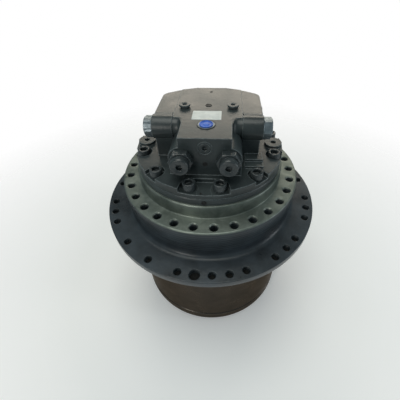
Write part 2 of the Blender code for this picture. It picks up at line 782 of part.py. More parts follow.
def make_hub():
    shoulder_top = UPPER_BEARING_Z - GAP
    shoulder_low = LOWER_BEARING_Z + BEARING_WIDTH + GAP
    shoulder = HUB_BORE_RADIUS - HUB_BEARING_SHOULDER
    neck = HUB_NECK_RADIUS
    fillet = arc((neck + HUB_FILLET, SPROCKET_FACE_Z + HUB_FILLET), HUB_FILLET, 180, 270, 2)
    profile = [(neck, HUB_TOP)] + fillet
    profile += [
        (SPROCKET_FLANGE_RADIUS, SPROCKET_FACE_Z),
        (SPROCKET_FLANGE_RADIUS, HUB_BOTTOM),
        (bore_round(COVER_RADIUS, FINE), HUB_BOTTOM),
        (bore_round(COVER_RADIUS, FINE), HUB_BOTTOM + RING_REGISTER_DEPTH),
        (SLEEVE_RADIUS, HUB_BOTTOM + RING_REGISTER_DEPTH),
        (SLEEVE_RADIUS, SLEEVE_BOTTOM),
        (HUB_BORE_RADIUS, SLEEVE_BOTTOM),
        (HUB_BORE_RADIUS, shoulder_low),
        (shoulder, shoulder_low),
        (shoulder, shoulder_top),
        (HUB_BORE_RADIUS, shoulder_top),
        (HUB_BORE_RADIUS, SEAL_FLOOR_Z),
        (SEAL_BORE_RADIUS, SEAL_FLOOR_Z),
        (SEAL_BORE_RADIUS, HUB_TOP),
    ]
    hub = turned("hub", profile, FINE, HUB_PAINT)
    steps = list(range(0, 2 * SPROCKET_HOLES, 2)) + list(SPROCKET_EXTRA_HOLES)
    low = HUB_BOTTOM - REACH
    high = SPROCKET_FACE_Z + REACH
    holes = []
    for step in steps:
        angle = sprocket_hole_angle(step)
        start = around(SPROCKET_HOLE_CIRCLE, angle, low)
        end = around(SPROCKET_HOLE_CIRCLE, angle, high)
        holes.append((start, end, SPROCKET_HOLE_RADIUS, SPROCKET_HOLE_RADIUS))
    angle = sprocket_hole_angle(SPROCKET_JACK_HOLE)
    start = around(SPROCKET_HOLE_CIRCLE, angle, low)
    end = around(SPROCKET_HOLE_CIRCLE, angle, high)
    holes.append((start, end, SPROCKET_JACK_HOLE_RADIUS, SPROCKET_JACK_HOLE_RADIUS))
    merge_flat(cut(hub, rods("hub_sprocket_holes", holes, HOLE)))
    smooth(hub)


def make_bearing(name, low, slope):
    """A tapered roller bearing. slope is 1 where its rollers lean outwards going up, else -1."""
    middle = low + BEARING_WIDTH / 2
    pitch = BEARING_SEAT_RADIUS + GAP + BEARING_SECTION / 2
    lean = slope * math.tan(ROLLER_TILT)
    offset = (ROLLER_RADIUS + ROLLER_PLAY) / math.cos(ROLLER_TILT)
    half = BEARING_WIDTH / 2

    def race(side, z):
        radius = pitch + side * offset + lean * (z - middle)
        return bore_round(radius, MEDIUM, 0.0) if side > 0 else radius

    inner = [
        (race(-1, low + BEARING_WIDTH), low + BEARING_WIDTH),
        (race(-1, low), low),
        (bore_round(BEARING_SEAT_RADIUS, MEDIUM), low),
        (bore_round(BEARING_SEAT_RADIUS, MEDIUM), low + BEARING_WIDTH),
    ]
    outer = [
        (BEARING_OUTER_RADIUS, low + BEARING_WIDTH),
        (BEARING_OUTER_RADIUS, low),
        (race(1, low), low),
        (race(1, low + BEARING_WIDTH), low + BEARING_WIDTH),
    ]
    smooth(turned(name + "_inner_ring", inner, MEDIUM, STEEL))
    smooth(turned(name + "_outer_ring", outer, MEDIUM, STEEL))
    reach = min(ROLLER_LENGTH / 2 + CAGE_OVERHANG, half)
    wall = CAGE_THICKNESS / 2
    cage = turned(
        name + "_rollers",
        [
            (pitch + wall + lean * reach, middle + reach),
            (pitch + wall - lean * reach, middle - reach),
            (pitch - wall - lean * reach, middle - reach),
            (pitch - wall + lean * reach, middle + reach),
        ],
        MEDIUM,
        STEEL,
    )
    along = ROLLER_LENGTH / 2 * math.cos(ROLLER_TILT)
    rollers = []
    for k in range(ROLLERS):
        angle = 2 * math.pi * (k + 0.5) / ROLLERS
        start = around(pitch - lean * along, angle, middle - along)
        end = around(pitch + lean * along, angle, middle + along)
        rollers.append((start, end, ROLLER_RADIUS, ROLLER_RADIUS))
    merge_flat(join(cage, rods(name + "_roller_set", rollers, 6)))
    smooth(cage)


def make_bearing_nut():
    inner = bore_round(BEARING_SEAT_RADIUS, MEDIUM)
    outer = inner + NUT_SECTION
    nut = turned("bearing_nut", ring_profile(inner, outer, NUT_Z, NUT_Z + NUT_THICKNESS), MEDIUM, STEEL)
    slots = []
    for k in range(NUT_SLOTS):
        low = (outer - NUT_SLOT_DEPTH, -NUT_SLOT_WIDTH / 2, NUT_Z - REACH)
        high = (outer + REACH, NUT_SLOT_WIDTH / 2, NUT_Z + NUT_THICKNESS + REACH)
        slots.append((low, high, 2 * math.pi * k / NUT_SLOTS))
    merge_flat(cut(nut, boxes("bearing_nut_slots", slots)))
    smooth(nut)


def make_face_seal():
    """Two metal rings face to face: the lower turns with the hub, the upper stays with the spindle."""
    slant = SEAL_SECTION / 4
    for name, low, up in (("seal_ring_turning", LOWER_SEAL_Z, 1), ("seal_ring_fixed", UPPER_SEAL_Z, -1)):
        high = low + SEAL_RING_HEIGHT
        face_top = SEAL_OUTER_RADIUS if up > 0 else SEAL_OUTER_RADIUS - slant
        face_low = SEAL_OUTER_RADIUS - slant if up > 0 else SEAL_OUTER_RADIUS
        profile = [
            (face_top, high),
            (face_low, low),
            (SEAL_INNER_RADIUS, low),
            (SEAL_INNER_RADIUS, high),
        ]
        smooth(turned(name, profile, MEDIUM, STEEL))


def screw_angles():
    """Front and back pairs stand closer together than the rest, which are evenly spaced."""
    half = SCREWS // 2
    first = SCREW_FRONT_HALF_ANGLE
    step = (math.pi - 2 * first) / (half - 1)
    right = [-math.pi / 2 + first + k * step for k in range(half)]
    left = [-math.pi / 2 - first - k * step for k in range(half)]
    return right + left


def make_spindle():
    profile = [
        (PILOT_RADIUS, PILOT_TOP),
        (PILOT_RADIUS, FRAME_FACE_Z),
        (FRAME_FLANGE_RADIUS, FRAME_FACE_Z),
        (FRAME_FLANGE_RADIUS, FLANGE_UNDERSIDE_Z),
        (SEAL_NECK_RADIUS, FLANGE_UNDERSIDE_Z),
        (SEAL_NECK_RADIUS, SEAL_FLOOR_Z),
        (BEARING_SHOULDER_RADIUS, UPPER_BEARING_TOP + GAP),
        (BEARING_SEAT_RADIUS, UPPER_BEARING_TOP + GAP),
        (BEARING_SEAT_RADIUS, NUT_Z),
        (SPINDLE_NOSE_RADIUS, NOSE_Z),
        (SPIGOT_RADIUS, NOSE_Z),
        (SPIGOT_RADIUS, SPIGOT_Z),
    ]
    spindle = solid("spindle", profile, FINE, SPINDLE_METAL)
    bearing_low = CAVITY_FLOOR - LOWER_BEARING_WIDTH - 2 * GAP
    bore = [
        (BRAKE_BORE_RADIUS, PILOT_TOP + REACH),
        (BRAKE_BORE_RADIUS, BRAKE_FLOOR),
        (CAVITY_RADIUS, BRAKE_FLOOR),
        (CAVITY_RADIUS, CAVITY_FLOOR),
        (LOWER_BEARING_RADIUS, CAVITY_FLOOR),
        (LOWER_BEARING_RADIUS, bearing_low),
        (SHAFT_SEAL_RADIUS, bearing_low),
        (SHAFT_SEAL_RADIUS, SPIGOT_Z - REACH),
    ]
    holes = []
    for k in range(FRAME_HOLES):
        angle = FRAME_HOLE_START + 2 * math.pi * k / FRAME_HOLES
        low = around(FRAME_HOLE_CIRCLE, angle, FLANGE_UNDERSIDE_Z - REACH)
        high = around(FRAME_HOLE_CIRCLE, angle, FRAME_FACE_Z + REACH)
        holes.append((low, high, FRAME_HOLE_RADIUS, FRAME_HOLE_RADIUS))
    threads = []
    thread = bore_round(SCREW_SHANK_RADIUS, HOLE)
    for angle in screw_angles():
        low = around(SCREW_CIRCLE, angle, SCREW_SEAT_Z - SCREW_LENGTH - GAP)
        high = around(SCREW_CIRCLE, angle, PILOT_TOP + REACH)
        threads.append((low, high, thread, thread))
    cut(
        spindle,
        solid("spindle_bore", bore, MEDIUM, helper=True),
        rods("spindle_frame_holes", holes, HOLE),
        rods("spindle_cover_threads", threads, HOLE),
    )
    merge_flat(spindle)
    smooth(spindle)


def make_cover_screws():
    for number, angle in enumerate(screw_angles(), 1):
        place = around(SCREW_CIRCLE, angle, SCREW_SEAT_Z + GAP + SCREW_HEAD_HEIGHT)
        plug(
            f"cover_screw_{number:02d}",
            place,
            Vector((0, 0, -1)),
            [(SCREW_HEAD_RADIUS, SCREW_HEAD_HEIGHT), (SCREW_SHANK_RADIUS, SCREW_LENGTH)],
            BLACK_SCREW,
        )


def rounded_back(half_width, back, radius, corner, front, count=4):
    """Half of a block's outline: up its right side, round its rear corner, along its curved back.

    The back is an arc whose centre lies on the plane x = 0, and the corner is a small arc
    that touches both it and the side.
    """
    centre = Vector((half_width - corner, 0.0))
    middle = back - radius
    centre.y = middle + math.sqrt((radius - corner) ** 2 - centre.x**2)
    slope = math.atan2(centre.y - middle, centre.x)
    points = [(half_width, front)]
    for i in range(count + 1):
        angle = slope * i / count
        points.append((centre.x + corner * math.cos(angle), centre.y + corner * math.sin(angle)))
    for i in range(1, count):
        angle = slope + (math.pi / 2 - slope) * i / count
        points.append((radius * math.cos(angle), middle + radius * math.sin(angle)))
    return points


def mirrored(points):
    """The closed outline of a half and its reflection in the plane x = 0."""
    return points + [(-x, y) for x, y in reversed(points)]


def scallop(angle):
    """The outline of a screw's recess: round behind the screw and open to the rim."""
    mouth = PORT_FLANGE_RADIUS + REACH - SCREW_CIRCLE
    points = [(mouth, -COUNTERBORE_RADIUS)]
    for k in range(7):
        turn = -math.pi / 2 - math.pi * k / 6
        points.append((COUNTERBORE_RADIUS * math.cos(turn), COUNTERBORE_RADIUS * math.sin(turn)))
    points.append((mouth, COUNTERBORE_RADIUS))
    return [
        (
            (SCREW_CIRCLE + x) * math.cos(angle) - y * math.sin(angle),
            (SCREW_CIRCLE + x) * math.sin(angle) + y * math.cos(angle),
        )
        for x, y in points
    ]


def tongue_outline():
    """Half the plateau: the tongue, a rounded inner corner, the side and the round back."""
    inset = PLATEAU_INSET
    corner = TONGUE_HALF_WIDTH + TONGUE_FILLET
    root = -TONGUE_ROOT
    points = [(TONGUE_HALF_WIDTH, -TONGUE_FRONT)]
    for k in range(4):
        turn = math.pi / 2 * (1 - k / 4)
        x = corner - TONGUE_FILLET * math.sin(turn)
        points.append((x, root - TONGUE_FILLET * (1 - math.cos(turn))))
    rear = BLOCK_BACK - inset
    corner = inset
    return points + rounded_back(PLATEAU_HALF_WIDTH, rear, BLOCK_BACK_RADIUS - inset, corner, root, 2)


def make_port_cover():
    sunk = PORT_FLANGE_TOP - BLOCK_SINK
    radius = PORT_FLANGE_RADIUS
    groove = PORT_BOTTOM + PORT_GROOVE_HEIGHT
    flange = [
        (radius, PORT_FLANGE_TOP),
        (radius, groove + PORT_GROOVE_DEPTH),
        (radius - PORT_GROOVE_DEPTH, groove),
        (radius, groove - PORT_GROOVE_DEPTH),
        (radius, PORT_BOTTOM),
    ]
    cover = solid("port_cover", flange, FINE, CASTING_PAINT)
    back = rounded_back(BLOCK_SIDE, BLOCK_BACK, BLOCK_BACK_RADIUS, BLOCK_BACK_CORNER, -BLOCK_STEP)
    block = prism("port_cover_block", [mirrored(back)], sunk, SHOULDER_TOP, helper=True)
    outline = mirrored(tongue_outline())
    plateau = prism("port_cover_plateau", [outline], sunk - 0.001, BLOCK_TOP, helper=True)
    skirt = RELIEF_X + RELIEF_BOSS_RADIUS - 0.0007
    front = -TONGUE_FRONT + 0.0006
    low = sunk - 0.002
    lower = [((-skirt, front, low), (skirt, -BLOCK_STEP + 0.005, RELIEF_Z + 0.0012), 0.0)]
    relief_bosses = []
    spool_bosses = []
    spool_necks = []
    webs = []
    neck_webs = []
    ears = []
    web_front = SPOOL_Y - 0.7 * SPOOL_BOSS_RADIUS
    neck_front = SPOOL_Y - 0.7 * SPOOL_NECK_RADIUS
    for side in (-1, 1):
        start = (side * RELIEF_X, -TONGUE_FRONT, RELIEF_Z)
        end = (side * RELIEF_X, -BLOCK_STEP + 0.006, RELIEF_Z)
        relief_bosses.append((start, end, RELIEF_BOSS_RADIUS, RELIEF_BOSS_RADIUS))
        start = (side * SPOOL_BOSS_START, SPOOL_Y, SPOOL_Z)
        end = (side * BLOCK_SIDE, SPOOL_Y, SPOOL_Z)
        spool_bosses.append((start, end, SPOOL_BOSS_RADIUS, SPOOL_BOSS_RADIUS))
        start = (side * TONGUE_HALF_WIDTH / 2, SPOOL_Y, SPOOL_Z)
        end = (side * (SPOOL_BOSS_START + 0.006), SPOOL_Y, SPOOL_Z)
        spool_necks.append((start, end, SPOOL_NECK_RADIUS, SPOOL_NECK_RADIUS))
        xs = sorted((side * (SPOOL_BOSS_START + 0.002), side * (BLOCK_SIDE - 0.004)))
        high = (xs[1], -BLOCK_STEP + 0.004, SPOOL_Z + 0.0012)
        webs.append(((xs[0], web_front, low - 0.001), high, 0.0))
        xs = sorted((side * (TONGUE_HALF_WIDTH - 0.004), side * (SPOOL_BOSS_START + 0.004)))
        high = (xs[1], -BLOCK_STEP + 0.003, SPOOL_Z + 0.0019)
        neck_webs.append(((xs[0], neck_front, low - 0.0015), high, 0.0))
        start = (side * EAR_CIRCLE, 0, sunk)
        ears.append((start, (side * EAR_CIRCLE, 0, PORT_FLANGE_TOP + EAR_HEIGHT), EAR_RADIUS, EAR_RADIUS))
    near = SPOOL_BOSS_START + 0.008
    far = near + SIDE_PAD_WIDTH
    pads = [
        (
            (near, web_front - 0.020, low - 0.002),
            (far, web_front + 0.005, PORT_FLANGE_TOP + 2 * SIDE_PAD_STEP),
            0.0,
        )
    ]
    steps = [
        (
            (near - 0.001, web_front - 0.036, low - 0.003),
            (far + 0.001, web_front + 0.004, PORT_FLANGE_TOP + SIDE_PAD_STEP),
            0.0,
        )
    ]
    join(
        cover,
        block,
        plateau,
        boxes("port_cover_lower_front", lower),
        rods("port_cover_relief_bosses", relief_bosses, ROUND),
        rods("port_cover_spool_bosses", spool_bosses, ROUND),
        rods("port_cover_spool_necks", spool_necks, SMALL),
        boxes("port_cover_webs", webs),
        boxes("port_cover_neck_webs", neck_webs),
        rods("port_cover_ears", ears, SMALL),
        boxes("port_cover_side_pad", pads),
        boxes("port_cover_side_pad_step", steps),
    )
    cut(cover, *port_cover_cutters())
    merge_flat(cover)
    smooth(cover, 30)


def port_cover_cutters():
    """Screw recesses and holes, valve bores, plug holes, the port and the bearing's seat."""
    hole = bore_round(SCREW_SHANK_RADIUS, HOLE)
    through = []
    top = PORT_FLANGE_TOP + 0.012
    for angle in screw_angles():
        low = around(SCREW_CIRCLE, angle, PORT_BOTTOM - REACH)
        through.append((low, around(SCREW_CIRCLE, angle, top), hole, hole))
    outlines = [scallop(angle) for angle in screw_angles()]
    recesses = prism("port_cover_screw_recesses", outlines, SCREW_SEAT_Z, top, helper=True)
    half = SCREW_CIRCLE * math.sin(SCREW_FRONT_HALF_ANGLE)
    pocket_low = (-half, -PORT_FLANGE_RADIUS - REACH, SCREW_SEAT_Z + 0.0004)
    pocket = [(pocket_low, (half, -FRONT_POCKET_EDGE, top - 0.002), 0.0)]
    spool = bore_round(SPOOL_RADIUS, SMALL)
    thread = bore_round(HEX_CAP_THREAD_RADIUS, SMALL)
    relief = bore_round(RELIEF_SHANK_RADIUS, SMALL)
    stem = bore_round(TOP_PLUG_SHANK_RADIUS, TINY)
    front = bore_round(FRONT_PLUG_RADIUS, TINY)
    front_z = BLOCK_TOP - FRONT_PLUG_DROP
    mouth = -TONGUE_FRONT - REACH
    beyond = BLOCK_SIDE + REACH
    ears = []
    seats = []
    valves = []
    plugs = []
    for side in (-1, 1):
        low = (side * EAR_CIRCLE, 0, PORT_FLANGE_TOP + EAR_HEIGHT - EAR_HOLE_DEPTH)
        high = (side * EAR_CIRCLE, 0, PORT_FLANGE_TOP + EAR_HEIGHT + REACH)
        ears.append((low, high, EAR_HOLE_RADIUS, EAR_HOLE_RADIUS))
        inner = (side * (BLOCK_SIDE - HEX_CAP_THREAD_LENGTH - GAP), SPOOL_Y, SPOOL_Z)
        seats.append((inner, (side * beyond, SPOOL_Y, SPOOL_Z), thread, thread))
        inner = (side * RELIEF_X, -TONGUE_FRONT + RELIEF_SHANK_LENGTH + 2 * GAP, RELIEF_Z)
        valves.append(((side * RELIEF_X, mouth, RELIEF_Z), inner, relief, relief))
        low = (side * TOP_PLUG_X, TOP_PLUG_Y, BLOCK_TOP - TOP_PLUG_SHANK_LENGTH - GAP)
        plugs.append((low, (side * TOP_PLUG_X, TOP_PLUG_Y, BLOCK_TOP + REACH), stem, stem))
    cross = [((-beyond, SPOOL_Y, SPOOL_Z), (beyond, SPOOL_Y, SPOOL_Z), spool, spool)]
    inner = (0, -TONGUE_FRONT + FRONT_PLUG_LENGTH + GAP, front_z)
    front_hole = [((0, mouth, front_z), inner, front, front)]
    port = [((0, PORT_Y, BLOCK_TOP - PORT_DEPTH), (0, PORT_Y, BLOCK_TOP + REACH), PORT_RADIUS, PORT_RADIUS)]
    bearing = bore_round(UPPER_BEARING_RADIUS, ROUND)
    bearing_top = PORT_BOTTOM + UPPER_BEARING_WIDTH + 2 * RUNNING_GAP
    seat = [((0, 0, PORT_BOTTOM - REACH), (0, 0, bearing_top), bearing, bearing)]
    return (
        recesses,
        rods("port_cover_screw_holes", through, HOLE),
        boxes("port_cover_front_pocket", pocket),
        rods("port_cover_ear_holes", ears, TINY),
        rods("port_cover_spool_bore", cross, SMALL),
        rods("port_cover_cap_threads", seats, SMALL),
        rods("port_cover_relief_bores", valves, SMALL),
        rods("port_cover_top_plug_holes", plugs, TINY),
        rods("port_cover_front_plug_hole", front_hole, TINY),
        rods("port_cover_port", port, SMALL),
        rods("port_cover_bearing_seat", seat, ROUND),
    )


def make_counterbalance_valve():
    half = SPOOL_LENGTH / 2
    land = SPOOL_LENGTH / 6
    profile = [
        (SPOOL_RADIUS, half),
        (SPOOL_RADIUS, half - land),
        (SPOOL_WAIST_RADIUS, half - land),
        (SPOOL_WAIST_RADIUS, land / 2),
        (SPOOL_RADIUS, land / 2),
        (SPOOL_RADIUS, -land / 2),
        (SPOOL_WAIST_RADIUS, -land / 2),
        (SPOOL_WAIST_RADIUS, land - half),
        (SPOOL_RADIUS, land - half),
        (SPOOL_RADIUS, -half),
    ]
    spool = solid("counterbalance_spool", profile, SMALL, STEEL)
    spool.location = (0, SPOOL_Y, SPOOL_Z)
    spool.rotation_euler = (0, math.pi / 2, 0)
    smooth(spool)
    for name, side in (("left", -1), ("right", 1)):
        face = BLOCK_SIDE + GAP
        hexagon = [
            (
                (side * face, SPOOL_Y, SPOOL_Z),
                (side * (face + HEX_CAP_LENGTH), SPOOL_Y, SPOOL_Z),
                HEX_CAP_RADIUS,
                HEX_CAP_RADIUS,
            )
        ]
        label = f"counterbalance_cap_{name}"
        cap = rods(label, hexagon, 6, helper=False, spec=CASTING_PAINT)
        thread = [
            (
                (side * (face - HEX_CAP_THREAD_LENGTH), SPOOL_Y, SPOOL_Z),
                (side * (face + HEX_CAP_LENGTH / 2), SPOOL_Y, SPOOL_Z),
                HEX_CAP_THREAD_RADIUS,
                HEX_CAP_THREAD_RADIUS,
            )
        ]
        join(cap, rods(label + "_thread", thread, SMALL))
        smooth(cap)


def make_relief_valves():
    """Each is a hexagon body screwed into the block, with a round cap."""
    for name, side in (("left", -1), ("right", 1)):
        x = side * RELIEF_X
        face = -TONGUE_FRONT - GAP
        label = f"relief_valve_{name}"
        root = (x, face, RELIEF_Z)
        body = [(root, (x, face - RELIEF_HEX_LENGTH, RELIEF_Z), RELIEF_HEX_RADIUS, RELIEF_HEX_RADIUS)]
        valve = rods(label, body, 6, helper=False, spec=CASTING_PAINT)
        end = face - RELIEF_HEX_LENGTH - RELIEF_CAP_LENGTH
        inside = face - RELIEF_HEX_LENGTH / 2
        rim = RELIEF_CAP_RADIUS
        start = (x, inside, RELIEF_Z)
        cap = [(start, (x, end, RELIEF_Z), rim, rim * 0.96)]
        tip = (x, face + RELIEF_SHANK_LENGTH, RELIEF_Z)
        shank = [(start, tip, RELIEF_SHANK_RADIUS, RELIEF_SHANK_RADIUS)]
        join(valve, rods(label + "_cap", cap, SMALL), rods(label + "_shank", shank, TINY))
        smooth(valve)


def make_plugs():
    for name, side in (("left", -1), ("right", 1)):
        place = Vector((side * TOP_PLUG_X, TOP_PLUG_Y, BLOCK_TOP + GAP + TOP_PLUG_HEAD_HEIGHT))
        plug(
            f"top_plug_{name}",
            place,
            Vector((0, 0, -1)),
            [(TOP_PLUG_HEAD_RADIUS, TOP_PLUG_HEAD_HEIGHT), (TOP_PLUG_SHANK_RADIUS, TOP_PLUG_SHANK_LENGTH)],
            CASTING_PAINT,
        )
    plug(
        "front_plug",
        Vector((0, -TONGUE_FRONT - GAP, BLOCK_TOP - FRONT_PLUG_DROP)),
        Vector((0, 1, 0)),
        [(FRONT_PLUG_RADIUS, FRONT_PLUG_LENGTH)],
        CASTING_PAINT,
    )
    stem = PORT_RADIUS - GAP
    cap_low = BLOCK_TOP + GAP
    cap = solid(
        "port_cap",
        [
            (PORT_CAP_RADIUS - 0.001, cap_low + PORT_CAP_HEIGHT),
            (PORT_CAP_RADIUS, cap_low + PORT_CAP_HEIGHT - 0.001),
            (PORT_CAP_RADIUS, cap_low),
            (stem, cap_low),
            (stem - 0.001, cap_low - PORT_CAP_STEM_LENGTH),
        ],
        SMALL,
        BLUE_CAP,
    )
    cap.location = (0.0, PORT_Y, 0.0)
    smooth(cap)


def make_motor():
    """Shaft, cylinder block, pistons on their shoes, swash plate, valve plate, bearings, seal."""
    gear_end = INPUT_GEAR_Z - GAP
    sun_seat = INPUT_SUN_TOP + GAP
    bearing_low = CAVITY_FLOOR - LOWER_BEARING_WIDTH - 2 * GAP
    shaft = [
        (SHAFT_TOP_RADIUS, PORT_BOTTOM + UPPER_BEARING_WIDTH + RUNNING_GAP),
        (SHAFT_TOP_RADIUS, BLOCK_END_Z),
        (SHAFT_SPLINE_RADIUS, BLOCK_END_Z),
        (SHAFT_SPLINE_RADIUS, SWASH_TOP),
        (SHAFT_BEARING_RADIUS, SWASH_TOP),
        (SHAFT_BEARING_RADIUS, bearing_low),
        (SHAFT_LOWER_RADIUS, bearing_low),
        (SHAFT_LOWER_RADIUS, sun_seat),
        (INPUT_SHAFT_RADIUS, sun_seat),
        (INPUT_SHAFT_RADIUS, gear_end),
    ]
    smooth(solid("motor_shaft", shaft, SMALL, GEAR_STEEL))
    low = CAVITY_FLOOR - LOWER_BEARING_WIDTH - GAP
    inner = bore_round(SHAFT_BEARING_RADIUS, ROUND)
    outer = LOWER_BEARING_RADIUS - 2 * GAP
    ring = ring_profile(inner, outer, low, low + LOWER_BEARING_WIDTH)
    smooth(turned("shaft_bearing_lower", ring, ROUND, STEEL))
    low = PORT_BOTTOM + RUNNING_GAP
    inner = bore_round(SHAFT_TOP_RADIUS, ROUND)
    ring = ring_profile(inner, UPPER_BEARING_RADIUS, low, low + UPPER_BEARING_WIDTH - GAP)
    smooth(turned("shaft_bearing_upper", ring, ROUND, STEEL))
    low = SPIGOT_Z + GAP
    inner = bore_round(SHAFT_LOWER_RADIUS, ROUND)
    ring = ring_profile(inner, SHAFT_SEAL_RADIUS - 2 * GAP, low, low + SHAFT_SEAL_WIDTH)
    smooth(turned("shaft_seal", ring, ROUND, RUBBER))
    ring = ring_profile(SWASH_BORE, SWASH_RADIUS, SWASH_Z, SWASH_TOP)
    smooth(turned("swash_plate", ring, MEDIUM, BRONZE))
    ports = circle(PISTON_CIRCLE, PISTONS)
    block = turned(
        "cylinder_block",
        ring_profile(bore_round(SHAFT_SPLINE_RADIUS, MEDIUM), BLOCK_RADIUS, BLOCK_START_Z, BLOCK_END_Z),
        MEDIUM,
        STEEL,
    )
    bore = PISTON_RADIUS + GAP
    bore_top = BLOCK_END_Z - PISTON_RADIUS
    bores = [((x, y, BLOCK_START_Z - REACH), (x, y, bore_top), bore, bore) for x, y in ports]
    cut(block, rods("cylinder_block_bores", bores, TINY))
    merge_flat(block)
    smooth(block)
    low = SHOE_Z + SHOE_HEIGHT - RETAINER_THICKNESS / 2
    inner = PISTON_CIRCLE - RETAINER_RIM
    retainer = ring_profile(inner, PISTON_CIRCLE + RETAINER_RIM, low, low + RETAINER_THICKNESS)
    pistons = turned("piston_set", retainer, MEDIUM, STEEL)
    shoes = [((x, y, SHOE_Z), (x, y, SHOE_Z + SHOE_HEIGHT), SHOE_RADIUS, SHOE_RADIUS) for x, y in ports]
    head = BLOCK_START_Z + PISTON_ENGAGEMENT
    rod_low = SHOE_Z + SHOE_HEIGHT / 2
    stems = [((x, y, rod_low), (x, y, head), PISTON_RADIUS, PISTON_RADIUS) for x, y in ports]
    join(pistons, rods("piston_set_shoes", shoes, TINY), rods("piston_set_pistons", stems, TINY))
    merge_flat(pistons)
    smooth(pistons)
    outlines = [circle(VALVE_PLATE_RADIUS, MEDIUM), circle(SHAFT_SPLINE_RADIUS, SMALL)]
    outlines += [kidney(0), kidney(math.pi)]
    plate_top = VALVE_PLATE_Z + VALVE_PLATE_THICKNESS
    smooth(prism("valve_plate", outlines, VALVE_PLATE_Z, plate_top, BRONZE))


def kidney(middle):
    """The outline of a port that curves round a third of the piston circle."""
    angles = [middle + KIDNEY_HALF_ANGLE * (k / 3 - 1) for k in range(7)]
    outer = [around(PISTON_CIRCLE + KIDNEY_HALF_WIDTH, a) for a in angles]
    inner = [around(PISTON_CIRCLE - KIDNEY_HALF_WIDTH, a) for a in reversed(angles)]
    return [(p.x, p.y) for p in outer + inner]


def make_brake():
    """Two friction discs on the cylinder block, a separator plate and a ring piston."""
    inner = BLOCK_RADIUS + GAP
    outer = BRAKE_BORE_RADIUS - GAP
    stack = (
        ("brake_disc_lower", inner, inner + DISC_WIDTH, FRICTION),
        ("brake_separator", outer - SEPARATOR_WIDTH, outer, STEEL),
        ("brake_disc_upper", inner, inner + DISC_WIDTH, FRICTION),
    )
    low = BRAKE_FLOOR + GAP
    for name, near, far, spec in stack:
        smooth(turned(name, ring_profile(near, far, low, low + DISC_THICKNESS), MEDIUM, spec))
        low += DISC_PITCH
    piston = ring_profile(outer - BRAKE_PISTON_WIDTH, outer, BRAKE_PISTON_Z, BRAKE_PISTON_TOP)
    smooth(turned("brake_piston", piston, MEDIUM, STEEL))


def make_final_drive():
    make_end_cover()
    make_ring_gear()
    make_stages()
    make_hub()
    make_bearing("lower_bearing", LOWER_BEARING_Z, -1)
    make_bearing("upper_bearing", UPPER_BEARING_Z, 1)
    make_bearing_nut()
    make_face_seal()
    make_spindle()
    make_motor()
    make_brake()
    make_port_cover()
    make_cover_screws()
    make_counterbalance_valve()
    make_relief_valves()
    make_plugs()


clear_scene()
PARTS = new_collection("excavator_final_drive")
CUTTERS = new_collection("cutters", hidden=True)
make_final_drive()
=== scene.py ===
"""Fine surfaces, finishes, light and camera for the excavator final drive.

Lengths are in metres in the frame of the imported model: +Z is up, the valves face -Y.
"""
import math

import bmesh
import bpy
import numpy as np
from mathutils import Matrix, Vector


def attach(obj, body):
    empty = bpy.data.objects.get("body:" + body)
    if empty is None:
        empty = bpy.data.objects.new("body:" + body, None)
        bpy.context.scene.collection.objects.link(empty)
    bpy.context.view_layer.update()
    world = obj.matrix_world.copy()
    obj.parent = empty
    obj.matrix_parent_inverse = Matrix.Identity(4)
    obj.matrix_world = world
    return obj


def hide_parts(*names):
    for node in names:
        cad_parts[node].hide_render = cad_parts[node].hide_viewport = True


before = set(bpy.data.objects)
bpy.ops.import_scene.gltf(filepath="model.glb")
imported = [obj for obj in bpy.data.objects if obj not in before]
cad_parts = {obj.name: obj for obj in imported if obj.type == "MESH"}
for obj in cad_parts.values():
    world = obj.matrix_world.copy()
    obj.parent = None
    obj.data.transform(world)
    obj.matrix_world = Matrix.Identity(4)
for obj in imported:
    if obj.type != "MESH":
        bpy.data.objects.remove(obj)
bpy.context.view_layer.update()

bl_info = {
    "name": "Excavator final drive",
    "version": (1, 0, 0),
    "blender": (4, 5, 0),
    "location": "3D View > Sidebar > Final drive",
    "description": "Surfaces, finishes, light and camera of an excavator final drive",
    "category": "Object",
}

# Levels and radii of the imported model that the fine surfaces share
COVER_RADIUS = 0.200
RIM_LOW = 0.021
RIM_TOP = 0.058
RING_LOW = 0.0583
RING_TOP = 0.3117
REGISTER_DEPTH = 0.003
REGISTER_RADIUS = 0.2011
RING_RELIEF = 0.237
RING_BORE = 0.17745
RING_TEETH = 48
MODULE = 0.007
PRESSURE_ANGLE = math.radians(20)
HUB_LOW = 0.309
SPROCKET_FACE = 0.3245
SPROCKET_RADIUS = 0.2475
SPROCKET_CIRCLE = 0.232
SPROCKET_START = math.radians(-167.45)
SPROCKET_CELLS = 44
SPROCKET_EXTRA_CELLS = (1, 11, 15, 19)
SPROCKET_JACK_CELL = 9
SPROCKET_HOLE = 0.0075
SPROCKET_JACK_HOLE = 0.0105
SPROCKET_THREAD = 0.011
HUB_TOP = 0.3635
HUB_NECK = 0.192
FRAME_LOW = 0.3645
FRAME_FACE = 0.4005
FRAME_RADIUS = 0.195
FRAME_CIRCLE = 0.180
FRAME_CELLS = 30
FRAME_HOLE = 0.007
FRAME_THREAD = 0.014
PILOT_RADIUS = 0.158
PILOT_TOP = 0.4305
SCREW_SEAT = 0.4548
SCREW_CIRCLE = 0.138
BLOCK_TOP = 0.5408
SPOOL_Y = -0.032
SPOOL_Z = 0.5198
RELIEF_X = 0.042
RELIEF_Z = 0.4988
VALVE_FACE = 0.107
FRONT_PLUG_Z = 0.5208
PORT_Y = -0.0615
COVER_BOLT_CIRCLE = 0.179
HEXAGON_CORNER = 1.1547
THREAD_PITCH = 0.002
THREAD_GROOVE = 0.0009

# Levels between which the hub's turning marks set in, above its fillet
MARKS_START = 0.336
MARKS_FULL = 0.346

